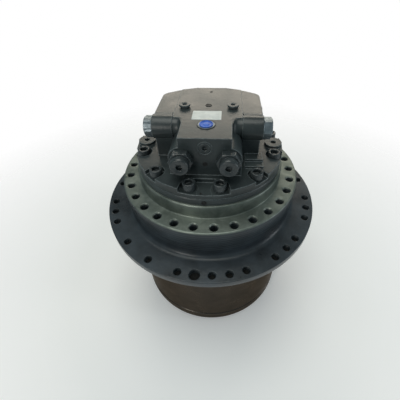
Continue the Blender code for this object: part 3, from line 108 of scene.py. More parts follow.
# Distances from the object at which the floor starts to thin out and is gone
FLOOR_FULL = 0.45
FLOOR_GONE = 1.3

# The camera, from the flange holes and rims in the photograph
CAMERA_PLACE = (-0.00186, -0.46235, 0.35933)
CAMERA_PITCH = math.radians(43.209)
CAMERA_ROLL = -0.024
OBJECT_YAW = math.radians(4.7)
CAMERA_LENS = 22.52
CAMERA_SHIFT = (-0.0239, -0.0254)


def linear(colour):
    """The linear RGBA of an sRGB hex colour."""
    values = [int(colour[i : i + 2], 16) / 255 for i in (1, 3, 5)]
    return (*(v / 12.92 if v <= 0.04045 else ((v + 0.055) / 1.055) ** 2.4 for v in values), 1.0)


def node(tree, kind, inputs=None, **settings):
    """Adds a shader node, sets it up, and sets or links its inputs."""
    made = tree.nodes.new(kind)
    for key, value in settings.items():
        setattr(made, key, value)
    for key, value in (inputs or {}).items():
        if isinstance(value, bpy.types.NodeSocket):
            tree.links.new(value, made.inputs[key])
        else:
            made.inputs[key].default_value = value
    return made


# Surfaces


def mesh_object(name, patches, finish, body, replaces=(), sharp=35):
    """One closed mesh from grids of points whose touching borders become one."""
    points = []
    faces = []
    start = 0
    for patch in patches:
        rows, columns = patch.shape[:2]
        index = np.arange(rows * columns).reshape(rows, columns) + start
        points.append(patch.reshape(-1, 3))
        corners = (index[:-1, :-1], index[:-1, 1:], index[1:, 1:], index[1:, :-1])
        faces.append(np.stack(corners, -1).reshape(-1, 4))
        start += rows * columns
    mesh = bpy.data.meshes.new(name)
    mesh.from_pydata(np.concatenate(points).tolist(), [], np.concatenate(faces).tolist())
    return finish_object(name, mesh, finish, body, replaces, sharp)


def finish_object(name, mesh, finish, body, replaces=(), sharp=35):
    """Merges touching points, turns the faces outwards, and gives the piece its finish and body."""
    bm = bmesh.new()
    bm.from_mesh(mesh)
    bmesh.ops.remove_doubles(bm, verts=bm.verts, dist=0.000004)
    bmesh.ops.dissolve_degenerate(bm, edges=bm.edges, dist=0.000001)
    bmesh.ops.recalc_face_normals(bm, faces=bm.faces)
    bm.to_mesh(mesh)
    bm.free()
    mesh.materials.clear()
    mesh.materials.append(finish)
    mesh.shade_smooth()
    mesh.set_sharp_from_angle(angle=math.radians(sharp))
    made = bpy.data.objects.new(name, mesh)
    bpy.context.scene.collection.objects.link(made)
    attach(made, body)
    if replaces:
        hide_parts(*replaces)
    return made


def rounded(outline, radii, closed=True, steps=3):
    """Each corner p between its neighbours becomes (1-t)^2 a + 2t(1-t) p + t^2 b, t from 0 to 1.

    a and b lie on the two sides, a radius away from the corner.
    """
    outline = np.array(outline, float)
    count = len(outline)
    radii = np.broadcast_to(radii, count)
    t = np.linspace(0, 1, steps + 1)[:, None]
    rows = []
    for i, corner in enumerate(outline):
        if radii[i] == 0 or (not closed and i in (0, count - 1)):
            rows.append(corner[None])
            continue
        before = outline[i - 1] - corner
        after = outline[(i + 1) % count] - corner
        far, near = np.linalg.norm(before), np.linalg.norm(after)
        reach = min(radii[i], 0.49 * far, 0.49 * near)
        a = corner + before / far * reach
        b = corner + after / near * reach
        rows.append((1 - t) ** 2 * a + 2 * t * (1 - t) * corner + t**2 * b)
    line = np.concatenate(rows)
    return np.concatenate((line, line[:1])) if closed else line


def turned(profile, angles):
    """(r cos a, r sin a, z) for each point (r, z) of the profile and each angle a."""
    r, z = np.asarray(profile, float).T
    a = np.asarray(angles, float)
    return np.stack((np.outer(r, np.cos(a)), np.outer(r, np.sin(a)), np.outer(z, np.ones_like(a))), -1)


def full_turn(columns, start=0.0):
    return start + np.linspace(0, 2 * math.pi, columns + 1)


def moved(patch, matrix):
    """The grid's points after a turn and a shift: M p + t."""
    m = np.array(matrix)
    return patch @ m[:3, :3].T + m[:3, 3]


def facing(direction, place=(0, 0, 0), turn=0.0):
    """The matrix that lays a piece's +Z along a direction at a place."""
    quat = Vector(direction).to_track_quat("Z", "Y").to_matrix().to_4x4()
    return Matrix.Translation(place) @ quat @ Matrix.Rotation(turn, 4, "Z")


def shaped(rows, columns, sides=6, phase=0.0):
    """Rows of (radius, height, across) turned round Z.

    The radius at angle a is the smaller of the row's radius and that of a polygon whose
    flats stand at the row's across: across / cos(a to the nearest flat's middle).
    """
    a = full_turn(columns, phase)
    step = 2 * math.pi / sides
    away = (a - phase + step / 2) % step - step / 2
    r, z, across = np.array(rows, float).T
    radius = np.minimum(r[:, None], across[:, None] / np.cos(away)[None, :])
    return np.stack((radius * np.cos(a), radius * np.sin(a), np.outer(z, np.ones_like(a))), -1)


def holed_plate(inner, outer, low, high, steps, start, circle, holes, chamfer, threaded=0.0, blind=False):
    """Both faces of a flat ring with round holes, and the holes' walls.

    The ring is cut into equal cells (u, v) in [-1, 1]: angle = start + k w + u w/2 and
    radius = (inner + outer)/2 + v (outer - inner)/2. In a cell with a hole, each point of
    the cell's border is joined to the hole's rim in its own direction d from the hole's centre.
    A thread's groove follows a helix: radius = hole + groove |2 frac(z / pitch + angle(d) / 2 pi) - 1|,
    as far below the upper face as threaded says. Blind holes go up from the lower face alone.
    """
    width = 2 * math.pi / len(holes)
    side = np.linspace(-1, 1, steps + 1)
    u = np.concatenate((side[:-1], np.ones(steps), side[:0:-1], -np.ones(steps), [-1]))
    v = np.concatenate((-np.ones(steps), side[:-1], np.ones(steps), side[:0:-1], [-1]))
    middle, half = (inner + outer) / 2, (outer - inner) / 2
    patches = []
    for k, hole in enumerate(holes):
        angle = start + k * width
        if not hole:
            a = angle + side * width / 2
            r = middle + side * half
            flat = np.stack((np.outer(r, np.cos(a)), np.outer(r, np.sin(a))), -1)
            patches += [np.insert(flat, 2, z, axis=-1) for z in ((low,) if blind else (high, low))]
            continue
        a = angle + u * width / 2
        border = np.stack((np.cos(a), np.sin(a)), -1) * (middle + v * half)[:, None]
        centre = circle * np.array((math.cos(angle), math.sin(angle)))
        way = border - centre
        way /= np.linalg.norm(way, axis=1)[:, None]
        wide, narrow = centre + way * (hole + chamfer), centre + way * hole
        rows = [(border, high), (wide, high)]
        if threaded:
            turn = np.arctan2(way[:, 1], way[:, 0]) / (2 * math.pi)
            levels = np.arange(high - chamfer, high - chamfer - threaded, -THREAD_PITCH / 4)
            share = np.abs(2 * ((levels[:, None] / THREAD_PITCH + turn) % 1) - 1)
            rows += [(centre + way * (hole + THREAD_GROOVE * w[:, None]), z) for w, z in zip(share, levels)]
        rows += [(narrow, high - chamfer - threaded), (narrow, low + chamfer), (wide, low), (border, low)]
        if blind:
            rows = [(border, low), (wide, low), (narrow, low + chamfer), (narrow, high)]
            rows.append((centre + way * 0, high))
        patches.append(np.stack([np.insert(points, 2, z, axis=-1) for points, z in rows]))
    return patches


def involute_outline(teeth, pitch_half, low, high, samples=4, root=2):
    """Polar angle and radius of a gear's outline.

    A flank at radius r stands at the tooth's middle -+ (pitch_half + inv(20 deg) - inv(A)),
    where cos A = base / r, base = module teeth cos(20 deg) / 2 and inv(x) = tan x - x.
    """
    base = MODULE * teeth / 2 * math.cos(PRESSURE_ANGLE)
    r = np.linspace(low, high, samples)
    a = np.arccos(np.minimum(1.0, base / np.maximum(r, base)))
    half = pitch_half + math.tan(PRESSURE_ANGLE) - PRESSURE_ANGLE - (np.tan(a) - a)
    gap = 2 * math.pi / teeth - 2 * half[0]
    foot = half[0] + gap * np.arange(1, root + 1) / (root + 1)
    tip = np.zeros(1)
    offsets = np.concatenate((-half, tip, half[::-1], foot))
    radii = np.concatenate((r, [high], r[::-1], np.full(root, low)))
    middles = 2 * math.pi * np.arange(teeth) / teeth
    angles = (middles[:, None] + offsets).ravel()
    return np.append(angles, angles[0] + 2 * math.pi), np.append(np.tile(radii, teeth), radii[0])


def lofted(rows, angles):
    """Rows of (radii along the outline, height) turned into points at the outline's angles."""
    cos, sin = np.cos(angles), np.sin(angles)
    ones = np.ones_like(angles)
    return np.stack([np.stack((r * ones * cos, r * ones * sin, z * ones), -1) for r, z in rows])


# Finishes


def start_material(name):
    """A material that holds a Principled shader, and the position on the object, in metres."""
    made = bpy.data.materials.new(name)
    made.use_nodes = True
    tree = made.node_tree
    shader = tree.nodes["Principled BSDF"]
    return made, tree, shader, node(tree, "ShaderNodeTexCoord").outputs["Object"]


def noise(tree, place, size, detail=3.0, roughness=0.55, distortion=0.0):
    """Noise whose patches are about size metres wide."""
    inputs = {
        "Vector": place,
        "Scale": 1 / size,
        "Detail": detail,
        "Roughness": roughness,
        "Distortion": distortion,
    }
    return node(tree, "ShaderNodeTexNoise", inputs).outputs["Fac"]


def ramp(tree, value, low, high, to_low=0.0, to_high=1.0):
    """The value's range low to high spread over to_low to to_high, and held at its ends."""
    inputs = {"Value": value, "From Min": low, "From Max": high, "To Min": to_low, "To Max": to_high}
    return node(tree, "ShaderNodeMapRange", inputs).outputs["Result"]


def blend(tree, share, first, second):
    """A colour between two, each a socket, a hex colour or linear RGBA."""
    sides = [linear(c) if isinstance(c, str) else c for c in (first, second)]
    mix = node(tree, "ShaderNodeMix", data_type="RGBA")
    for index, value in ((0, share), (6, sides[0]), (7, sides[1])):
        if isinstance(value, bpy.types.NodeSocket):
            tree.links.new(value, mix.inputs[index])
        else:
            mix.inputs[index].default_value = value
    return mix.outputs[2]


def edge_mask(tree, radius, low=0.02, high=0.25):
    """1 on edges: where a normal that is averaged over a radius leaves the true one."""
    soft = node(tree, "ShaderNodeBevel", {"Radius": radius}, samples=6).outputs["Normal"]
    true = node(tree, "ShaderNodeNewGeometry").outputs["Normal"]
    same = node(tree, "ShaderNodeVectorMath", {0: soft, 1: true}, operation="DOT_PRODUCT")
    apart = node(tree, "ShaderNodeMath", {0: 1.0, 1: same.outputs["Value"]}, operation="SUBTRACT")
    return ramp(tree, apart.outputs[0], low, high)


def rings(tree, place, pitch, wobble=0.0):
    """Turning marks: a wave of that pitch along the distance from the origin, which lies on the axis."""
    inputs = {
        "Vector": place,
        "Scale": 2 * math.pi / 20 / pitch,
        "Distortion": wobble,
        "Detail": 2.0,
        "Detail Scale": 0.4,
    }
    wave = node(tree, "ShaderNodeTexWave", inputs, wave_type="RINGS", rings_direction="SPHERICAL")
    return wave.outputs["Fac"]


def bump(tree, heights, round_over):
    """A normal from (height, metres) pairs, over edges that are rounded by round_over."""
    normal = node(tree, "ShaderNodeBevel", {"Radius": round_over}, samples=6).outputs["Normal"]
    for height, distance in heights:
        inputs = {"Height": height, "Distance": distance, "Strength": 1.0, "Normal": normal}
        normal = node(tree, "ShaderNodeBump", inputs).outputs["Normal"]
    return normal


def painted_casting(name, colour, deep, worn_and_glint, gloss, sheen=0.35, edge=0.0012, turning=0.0):
    """Sand-cast ductile iron under one coat of enamel.

    The eye gets sand grain of about 2 mm, coarser than the real 0.3 mm, under the coat's
    soft orange peel, tone that drifts over 60 mm, handling dust, and thin paint on edges. The pale
    edge colour is partly a painted highlight along the edges.
    Turning is the depth of turning marks under the coat, on the neck above the fillet. They are 5 mm
    apart, coarser than the real ones.
    """
    made, tree, shader, place = start_material(name)
    drift = noise(tree, place, 0.060, 4.0)
    grain = noise(tree, place, 0.0022, 3.0, 0.6)
    peel = noise(tree, place, 0.008, 2.0)
    specks = noise(tree, place, 0.0045, 5.0, 0.7)
    base = blend(tree, ramp(tree, drift, 0.35, 0.7), deep, colour)
    base = blend(tree, ramp(tree, specks, 0.62, 0.8, 0.0, 0.35), base, worn_and_glint)
    # Edges lighten to the pale colour: partly paint worn thin, partly a painted highlight along the edges.
    edge_wear_and_glint_share = node(
        tree,
        "ShaderNodeMath",
        {0: edge_mask(tree, edge, 0.012, 0.16), 1: ramp(tree, specks, 0.35, 0.65, 0.35, 1.0)},
        operation="MULTIPLY",
    ).outputs[0]
    heights = [(grain, 0.00016), (peel, 0.0003)]
    if turning:
        height = node(tree, "ShaderNodeSeparateXYZ", {0: place}).outputs["Z"]
        marks = node(
            tree,
            "ShaderNodeMath",
            {0: rings(tree, place, 0.005, 1.5), 1: ramp(tree, height, MARKS_START, MARKS_FULL)},
            operation="MULTIPLY",
        ).outputs[0]
        base = blend(tree, ramp(tree, marks, 0.6, 1.0, 0.0, 0.3), base, worn_and_glint)
        heights.append((marks, turning))
    base = blend(tree, edge_wear_and_glint_share, base, worn_and_glint)
    tree.links.new(base, shader.inputs["Base Color"])
    tree.links.new(ramp(tree, drift, 0.3, 0.75, gloss - 0.06, gloss + 0.10), shader.inputs["Roughness"])
    tree.links.new(bump(tree, heights, edge), shader.inputs["Normal"])
    shader.inputs["Specular IOR Level"].default_value = sheen
    return made


def turned_metal(
    name, colour, deep, stain, rough, pitch=0.0016, depth=0.00004, metallic=1.0, edge=0.0006, rub_and_glint=None,
    tint="#ffffff", drawn=0.0,
):
    """Metal finished on a lathe.

    The eye gets turning marks of 1.6 mm, coarser than the real 0.2 mm feed, a dull oil film that pools
    over 40 mm, and edges in their own pale colour where one is given, or the metal's own. A pale edge colour
    is partly rubbed metal, partly a painted highlight along the edges. Tint is the colour of its grazing
    shine.
    Drawn, from 0 to 1, is how far marks too fine to model draw each light out across themselves.
    """
    made, tree, shader, place = start_material(name)
    film = noise(tree, place, 0.040, 5.0, 0.6, 0.4)
    marks = rings(tree, place, pitch, 0.6)
    scratches = noise(tree, place, 0.003, 6.0, 0.7)
    base = blend(tree, ramp(tree, film, 0.38, 0.66), colour, deep)
    base = blend(tree, ramp(tree, scratches, 0.6, 0.78, 0.0, 0.4), base, stain)
    base = blend(tree, edge_mask(tree, edge), base, rub_and_glint or colour)
    tree.links.new(base, shader.inputs["Base Color"])
    tree.links.new(ramp(tree, film, 0.3, 0.7, rough - 0.03, rough + 0.07), shader.inputs["Roughness"])
    tree.links.new(bump(tree, ((marks, depth), (scratches, 0.00003)), edge), shader.inputs["Normal"])
    shader.inputs["Metallic"].default_value = metallic
    shader.inputs["Specular Tint"].default_value = linear(tint)
    if drawn:
        along = node(tree, "ShaderNodeVectorMath", {0: (0, 0, 1), 1: place}, operation="CROSS_PRODUCT")
        turn = node(
            tree, "ShaderNodeVectorTransform", {"Vector": along.outputs[0]},
            vector_type="VECTOR", convert_from="OBJECT", convert_to="WORLD",
        )
        tree.links.new(turn.outputs[0], shader.inputs["Tangent"])
        shader.inputs["Anisotropic"].default_value = drawn
        shader.inputs["Anisotropic Rotation"].default_value = 0.25
    return made


def plain_stock(name, colour, deep, rough, metallic, grain=0.0015, depth=0.00005, edge=0.0005):
    """Pressed, moulded, blacked or plated stock.

    The eye gets a fine grain, a tone that drifts over 12 mm and a rubbed edge.
    """
    made, tree, shader, place = start_material(name)
    drift = noise(tree, place, 0.012, 4.0)
    fine = noise(tree, place, grain, 3.0, 0.6)
    base = blend(tree, ramp(tree, drift, 0.35, 0.68), colour, deep)
    base = blend(tree, edge_mask(tree, edge, 0.05, 0.5), base, colour)
    tree.links.new(base, shader.inputs["Base Color"])
    tree.links.new(ramp(tree, fine, 0.3, 0.7, rough - 0.05, rough + 0.08), shader.inputs["Roughness"])
    tree.links.new(bump(tree, ((fine, depth),), edge), shader.inputs["Normal"])
    shader.inputs["Metallic"].default_value = metallic
    return made


def make_finishes(colours):
    return {
        # Motor casting: sprayed dark grey enamel, which greys with dust
        "casting": painted_casting(
            "enamelled_cast_iron", colours.casting, "#2a3031", "#959fa2", 0.34, 0.6, 0.0024
        ),
        # Valve bodies and screws: steel under the same enamel, sprayed thin and glossy
        "fittings": painted_casting("enamelled_steel", "#3a4143", "#2a2f31", "#8f9799", 0.27, 0.7, 0.0011),
        # Hub: blue-grey primer over a turned ductile casting
        "hub": painted_casting(
            "primed_ductile_iron", colours.hub, "#272c30", "#646c6d", 0.32, 0.5, 0.0014, 0.00010
        ),
        # Barrel: quenched ring gear under rust-proofing oil, brown in the light
        "barrel": turned_metal(
            "oiled_quenched_steel", colours.barrel, "#4d4945", "#6b645d", 0.28, 0.0030, 0.00004, 0.95,
            tint="#b0a8a0", drawn=0.8,
        ),
        # Spindle flange: face-milled ductile iron with an olive film of preserving oil; its pale edges are
        # partly rubbed bare, partly a painted highlight
        "flange": turned_metal(
            "milled_ductile_iron", colours.flange, "#646c66", "#4b514c", 0.40,
            metallic=0.8, edge=0.0013, rub_and_glint="#c4cbc0",
        ),
        # Valve caps: steel under dull zinc
        "zinc": plain_stock("dull_zinc_plated_steel", "#8f999f", "#6b757b", 0.34, 0.7),
        # Painted shade: a dark skin low in the sprocket holes stands in for the shadowed ground seen through
        # them
        "shade_in_holes": plain_stock("painted_shade_hole_skin", "#0d0e0c", "#080807", 0.85, 0.0, 0.004, 0.0006),
        # Cap screws: blacked alloy steel
        "black": plain_stock("blacked_alloy_steel", "#3a3b3d", "#1e1f21", 0.32, 0.8),
        # Port cap: moulded polyethylene
        "plastic": plain_stock("moulded_polyethylene", colours.cap, "#2f58b4", 0.42, 0.0),
        # Label: bare anodised aluminium
        "label": plain_stock("anodised_aluminium_foil", "#dde2e1", "#cbd1d0", 0.45, 0.15),
        # Bearings, nut, seal rings, brake plates: ground and hardened steel
        "ground": turned_metal(
            "ground_bearing_steel", "#a3a6a8", "#85888a", "#6b6d6e", 0.22, 0.0012, 0.00002
        ),
        # Gears, shafts and carriers: case-hardened steel, grey from quenching
        "gear": turned_metal("case_hardened_steel", "#75777a", "#55575a", "#47484a", 0.32, 0.0014, 0.00003),
        # Swash and valve plates: leaded bronze
        "bronze": turned_metal("leaded_bronze", "#a9804a", "#86602f", "#6b4b25", 0.28, 0.0012, 0.00002),
        # Brake linings: sintered friction facing with a paper-like grain
        "lining": plain_stock("sintered_brake_lining", "#4d4136", "#332a22", 0.75, 0.1, 0.0009, 0.00012),
        # Shaft seal: nitrile rubber; the same dark finish also paints shade on flush discs and on the port
        # cap's ring
        "rubber": plain_stock("nitrile_rubber", "#232323", "#161616", 0.55, 0.0),
    }


# Pieces


def make_hub(finish, sizes):
    """The flange's cells with their holes, its rim, and the turned body with neck, bore and sleeve."""
    cells = [0.0] * SPROCKET_CELLS
    for step in [*range(0, SPROCKET_CELLS, 2), *SPROCKET_EXTRA_CELLS]:
        cells[step] = SPROCKET_HOLE
    cells[SPROCKET_JACK_CELL] = SPROCKET_JACK_HOLE
    steps = 8
    width = 2 * math.pi / SPROCKET_CELLS
    angles = full_turn(SPROCKET_CELLS * steps, SPROCKET_START - width / 2)
    half = 0.0135
    inner, outer = SPROCKET_CIRCLE - half, SPROCKET_CIRCLE + half
    patches = holed_plate(
        inner, outer, HUB_LOW, SPROCKET_FACE, steps, SPROCKET_START, SPROCKET_CIRCLE, cells,
        sizes.hole_chamfer, SPROCKET_THREAD,
    )
    rim = rounded(
        [
            (outer, SPROCKET_FACE), (SPROCKET_RADIUS, SPROCKET_FACE),
            (SPROCKET_RADIUS, HUB_LOW), (outer, HUB_LOW),
        ],
        0.0012, closed=False,
    )
    corners = [
        (inner, HUB_LOW, 0), (REGISTER_RADIUS, HUB_LOW, 0.0005),
        (REGISTER_RADIUS, HUB_LOW + REGISTER_DEPTH, 0),
        (0.1718, HUB_LOW + REGISTER_DEPTH, 0), (0.1718, 0.247, 0.002), (0.1559, 0.247, 0.002),
        (0.1559, 0.2955, 0), (0.1489, 0.2955, 0.001), (0.1489, 0.3063, 0.001), (0.1559, 0.3063, 0),
        (0.1559, 0.3413, 0.001), (0.1692, 0.3413, 0.001), (0.1692, HUB_TOP, 0.001),
        (HUB_NECK, HUB_TOP, 0.0025), (HUB_NECK, SPROCKET_FACE, sizes.hub_fillet), (inner, SPROCKET_FACE, 0),
    ]
    body = rounded([c[:2] for c in corners], [c[2] for c in corners], closed=False, steps=14)
    patches += [turned(rim, angles), turned(body, angles)]
    mesh_object("hub_casting", patches, finish, "hub_group", ("hub",))
    return cells


def make_painted_hole_shade(finish, cells):
    """Painted shade: a dark sagging skin low in each sprocket hole, z = floor + depth (r / radius)^2."""
    patches = []
    for step, hole in enumerate(cells):
        if hole:
            r = np.array((0.0, 0.5, 0.8, 0.985)) * hole
            dish = np.stack((r, HUB_LOW + 0.0020 + 0.0015 * (r / hole) ** 2), -1)
            under = np.array(((0.985 * hole, HUB_LOW + 0.0012), (0.0, HUB_LOW + 0.0008)))
            angle = SPROCKET_START + 2 * math.pi * step / SPROCKET_CELLS
            place = (SPROCKET_CIRCLE * math.cos(angle), SPROCKET_CIRCLE * math.sin(angle), 0)
            skin = turned(np.concatenate((dish, under)), full_turn(24))
            patches.append(moved(skin, Matrix.Translation(place)))
    return mesh_object("sprocket_hole_painted_shade", patches, finish, "hub_group", (), 50)


def make_spindle(finish, paint, sizes):
    """The flange's face and the pilot are milled bare, and the flange's side is painted."""
    steps = 12
    width = 2 * math.pi / FRAME_CELLS
    angles = full_turn(FRAME_CELLS * steps, -width / 2)
    inner, outer = FRAME_CIRCLE - 0.0105, FRAME_CIRCLE + 0.0105
    patches = holed_plate(
        inner, outer, FRAME_LOW, FRAME_FACE, steps, 0.0, FRAME_CIRCLE, [FRAME_HOLE] * FRAME_CELLS,
        sizes.frame_hole_chamfer, FRAME_THREAD,
    )
    rim = rounded(
        [(outer, FRAME_FACE), (FRAME_RADIUS, FRAME_FACE), (FRAME_RADIUS, FRAME_LOW), (outer, FRAME_LOW)],
        0.0024, closed=False,
    )
    corners = [
        (inner, FRAME_LOW, 0), (0.152, FRAME_LOW, 0.001), (0.152, 0.3413, 0), (0.133, 0.3413, 0.001),
        (0.133, 0.3412, 0), (0.125, 0.3412, 0), (0.125, 0.2486, 0.001), (0.117, 0.2376, 0.001),
        (0.070, 0.2376, 0), (0.070, 0.2256, 0.001), (0.036, 0.2256, 0.001), (0.036, 0.2450, 0),
        (0.045, 0.2450, 0), (0.045, 0.2616, 0.001), (0.092, 0.2616, 0.002), (0.092, 0.3725, 0.001),
        (0.104, 0.3725, 0.0005), (0.104, PILOT_TOP, 0.001), (PILOT_RADIUS, PILOT_TOP, 0.0025),
        (PILOT_RADIUS, FRAME_FACE, 0.0015), (inner, FRAME_FACE, 0),
    ]
    body = rounded([c[:2] for c in corners], [c[2] for c in corners], closed=False)
    patches += [turned(rim, angles), turned(body, angles)]
    made = mesh_object("spindle_casting", patches, finish, "spindle_group", ("spindle",))
    made.data.materials.append(paint)
    centres = np.empty(len(made.data.polygons) * 3)
    made.data.polygons.foreach_get("center", centres)
    x, y, z = centres.reshape(-1, 3).T
    seal_neck = 0.153
    unpainted = (z > FRAME_FACE - sizes.painted_edge) | (np.hypot(x, y) < seal_neck)
    made.data.polygons.foreach_set("material_index", np.where(unpainted, 0, 1))
    return made


def make_ring_gear(finish):
    """Rows that are round outside and follow the teeth's outline inside, joined into a closed tube."""
    pitch = MODULE * RING_TEETH / 2
    angles, teeth = involute_outline(
        RING_TEETH, math.pi / 2 / RING_TEETH + 0.0002 / pitch, pitch - MODULE, pitch + 1.25 * MODULE
    )
    edge = 0.0012
    rows = [
        (teeth + edge, RING_LOW), (COVER_RADIUS - 2 * edge, RING_LOW), (COVER_RADIUS, RING_LOW + 2 * edge),
        (COVER_RADIUS, RING_TOP - edge), (COVER_RADIUS - edge, RING_TOP), (RING_BORE + edge, RING_TOP),
        (RING_BORE, RING_TOP - edge), (RING_BORE, RING_RELIEF), (teeth + edge, RING_RELIEF),
        (teeth, RING_RELIEF - edge), (teeth, RING_LOW + edge), (teeth + edge, RING_LOW),
    ]
    return mesh_object(
        "ring_gear_barrel", [lofted(rows, angles)], finish, "hub_group", ("ring_gear",), 25
    )


def make_end_cover(finish, bolt_finish, sizes):
    """A turned cover with blind holes for its plugs, and hexagon bolt heads under its rim."""
    cells = [0.0] * 8
    cells[2] = cells[6] = 0.0133
    angles = full_turn(8 * 45, -math.pi / 8)
    floor, ceiling = 0.0, 0.0183
    near, far, plug_circle = 0.086, 0.124, 0.105
    patches = holed_plate(near, far, floor, ceiling, 45, 0.0, plug_circle, cells, 0.0008, blind=True)
    inside = [(0.0, floor), (near, floor)]
    corners = [
        (far, floor, 0), (0.1427, floor, 0.002), (0.148, 0.0105, 0.003), (0.1585, RIM_LOW, 0.003),
        (0.197, RIM_LOW, 0.001), (COVER_RADIUS, 0.030, 0.002),
        (COVER_RADIUS, RIM_TOP - 0.0045, 0.0012), (COVER_RADIUS - 0.0035, RIM_TOP - 0.0035, 0.0005),
        (COVER_RADIUS - 0.0035, RIM_TOP, 0.0005),
        (0.134, RIM_TOP, 0.001), (0.120, 0.044, 0.002), (0.0, 0.044, 0),
    ]
    outside = rounded([c[:2] for c in corners], [c[2] for c in corners], closed=False)
    patches += [turned(inside, angles), turned(outside, angles)]
    made = mesh_object("end_cover_casting", patches, finish, "hub_group", ("end_cover",))
    head = shaped(
        [
            (0.0, 0.0, 1.0), (0.0152, 0.0, 1.0), (0.0156, 0.0006, 1.0), (0.0156, 0.0022, 1.0),
            (0.0142, 0.0030, 1.0), (0.0142, 0.0030, 0.0120), (0.0142, 0.0112, 0.0120),
            (0.0118, 0.0126, 0.0120), (0.0, 0.0126, 1.0),
        ],
        48,
    )
    bolts = []
    for k in range(sizes.cover_bolts):
        angle = 2 * math.pi * (k + 0.5) / sizes.cover_bolts
        place = (COVER_BOLT_CIRCLE * math.cos(angle), COVER_BOLT_CIRCLE * math.sin(angle), RIM_LOW + 0.0002)
        bolts.append(moved(head, facing((0, 0, -1), place, angle)))
    mesh_object("end_cover_bolt_heads", bolts, bolt_finish, "hub_group")
    return made


def screw_angles():
    """Six a side, evenly spaced from 11.5 degrees beside the front to 11.5 degrees beside the back."""
    first = math.radians(11.5)
    step = (math.pi - 2 * first) / 5
    right = [-math.pi / 2 + first + k * step for k in range(6)]
    return right + [-math.pi / 2 - first - k * step for k in range(6)]


def socket_screw(radius, height, across, depth, shank, length, columns=48):
    """A cap screw with its hexagon socket upwards, its head's top at height 0."""
    corner = across * HEXAGON_CORNER
    end = -height - length
    return shaped(
        [
            (0.0, -depth - across * 0.35, 1.0), (corner, -depth, across), (corner, -0.0007, across),
            (corner + 0.0006, 0.0, 1.0), (radius - 0.0011, 0.0, 1.0), (radius - 0.0003, -0.0004, 1.0),
            (radius, -0.0012, 1.0), (radius, 0.0003 - height, 1.0), (radius - 0.0003, -height, 1.0),
            (shank, -height, 1.0), (shank, end + 0.001, 1.0), (shank - 0.001, end, 1.0), (0.0, end, 1.0),
        ],
        columns,
    )


def make_cover_screws(finish):
    """Each head's side carries a fine knurl of 36 ridges: radius + 0.00018 cos(36 a)."""
    screw = socket_screw(0.0118, 0.016, 0.0070, 0.0085, 0.0077, 0.048, 144)
    side = (np.hypot(screw[..., 0], screw[..., 1]) > 0.0117) & (screw[..., 2] < -0.0010)
    turn = np.arctan2(screw[..., 1], screw[..., 0])
    knurl = 1 + np.where(side, 0.00018 * np.cos(36 * turn) / 0.0118, 0.0)
    screw = screw * np.stack((knurl, knurl, np.ones_like(knurl)), -1)
    for number, angle in enumerate(screw_angles(), 1):
        place = (SCREW_CIRCLE * math.cos(angle), SCREW_CIRCLE * math.sin(angle), SCREW_SEAT + 0.0163)
        patch = moved(screw, facing((0, 0, 1), place, angle * 3))
        label = f"cover_screw_{number:02d}"
        mesh_object("fine_" + label, [patch], finish, "spindle_group", (label,), 22)


def make_valves(zinc, casting):
    """Hexagon caps at the spool's ends, and relief valves with a hexagon and a round cap."""
    for name, side in (("left", -1), ("right", 1)):
        cap = shaped(
            [
                (0.0, -0.0180, 1.0), (0.0160, -0.0180, 1.0), (0.0165, -0.0172, 1.0), (0.0165, 0.0, 1.0),
                (0.0195, 0.0, 1.0), (0.0208, 0.0010, 0.0180), (0.0208, 0.0140, 0.0180),
                (0.0182, 0.0157, 0.0180), (0.0176, 0.0160, 1.0), (0.0088, 0.0160, 1.0),
                (0.0081, 0.0155, 0.0070), (0.0081, 0.0080, 0.0070), (0.0, 0.0060, 1.0),
            ],
            72,
        )
        place = (side * 0.1043, SPOOL_Y, SPOOL_Z)
        patch = moved(cap, facing((side, 0, 0), place, math.pi / 6))
        label = f"counterbalance_cap_{name}"
        mesh_object("fine_" + label, [patch], zinc, "spindle_group", (label,))
        valve = shaped(
            [
                (0.0, -0.0380, 1.0), (0.0130, -0.0380, 1.0), (0.0135, -0.0372, 1.0), (0.0135, 0.0, 1.0),
                (0.0195, 0.0, 1.0), (0.0224, 0.0012, 0.0194), (0.0224, 0.0125, 0.0194),
                (0.0198, 0.0140, 0.0194), (0.0158, 0.0142, 1.0), (0.0158, 0.0156, 1.0), (0.0170, 0.0160, 1.0),
                (0.0170, 0.0244, 1.0), (0.0158, 0.0264, 1.0), (0.0150, 0.0270, 1.0), (0.0074, 0.0270, 1.0),
                (0.0064, 0.0262, 0.0055), (0.0064, 0.0185, 0.0055), (0.0, 0.0160, 1.0),
            ],
            72,
        )
        place = (side * RELIEF_X, -VALVE_FACE - 0.0003, RELIEF_Z)
        patch = moved(valve, facing((0, -1, 0), place, math.pi / 6))
        label = f"relief_valve_{name}"
        mesh_object("fine_" + label, [patch], casting, "spindle_group", (label,))


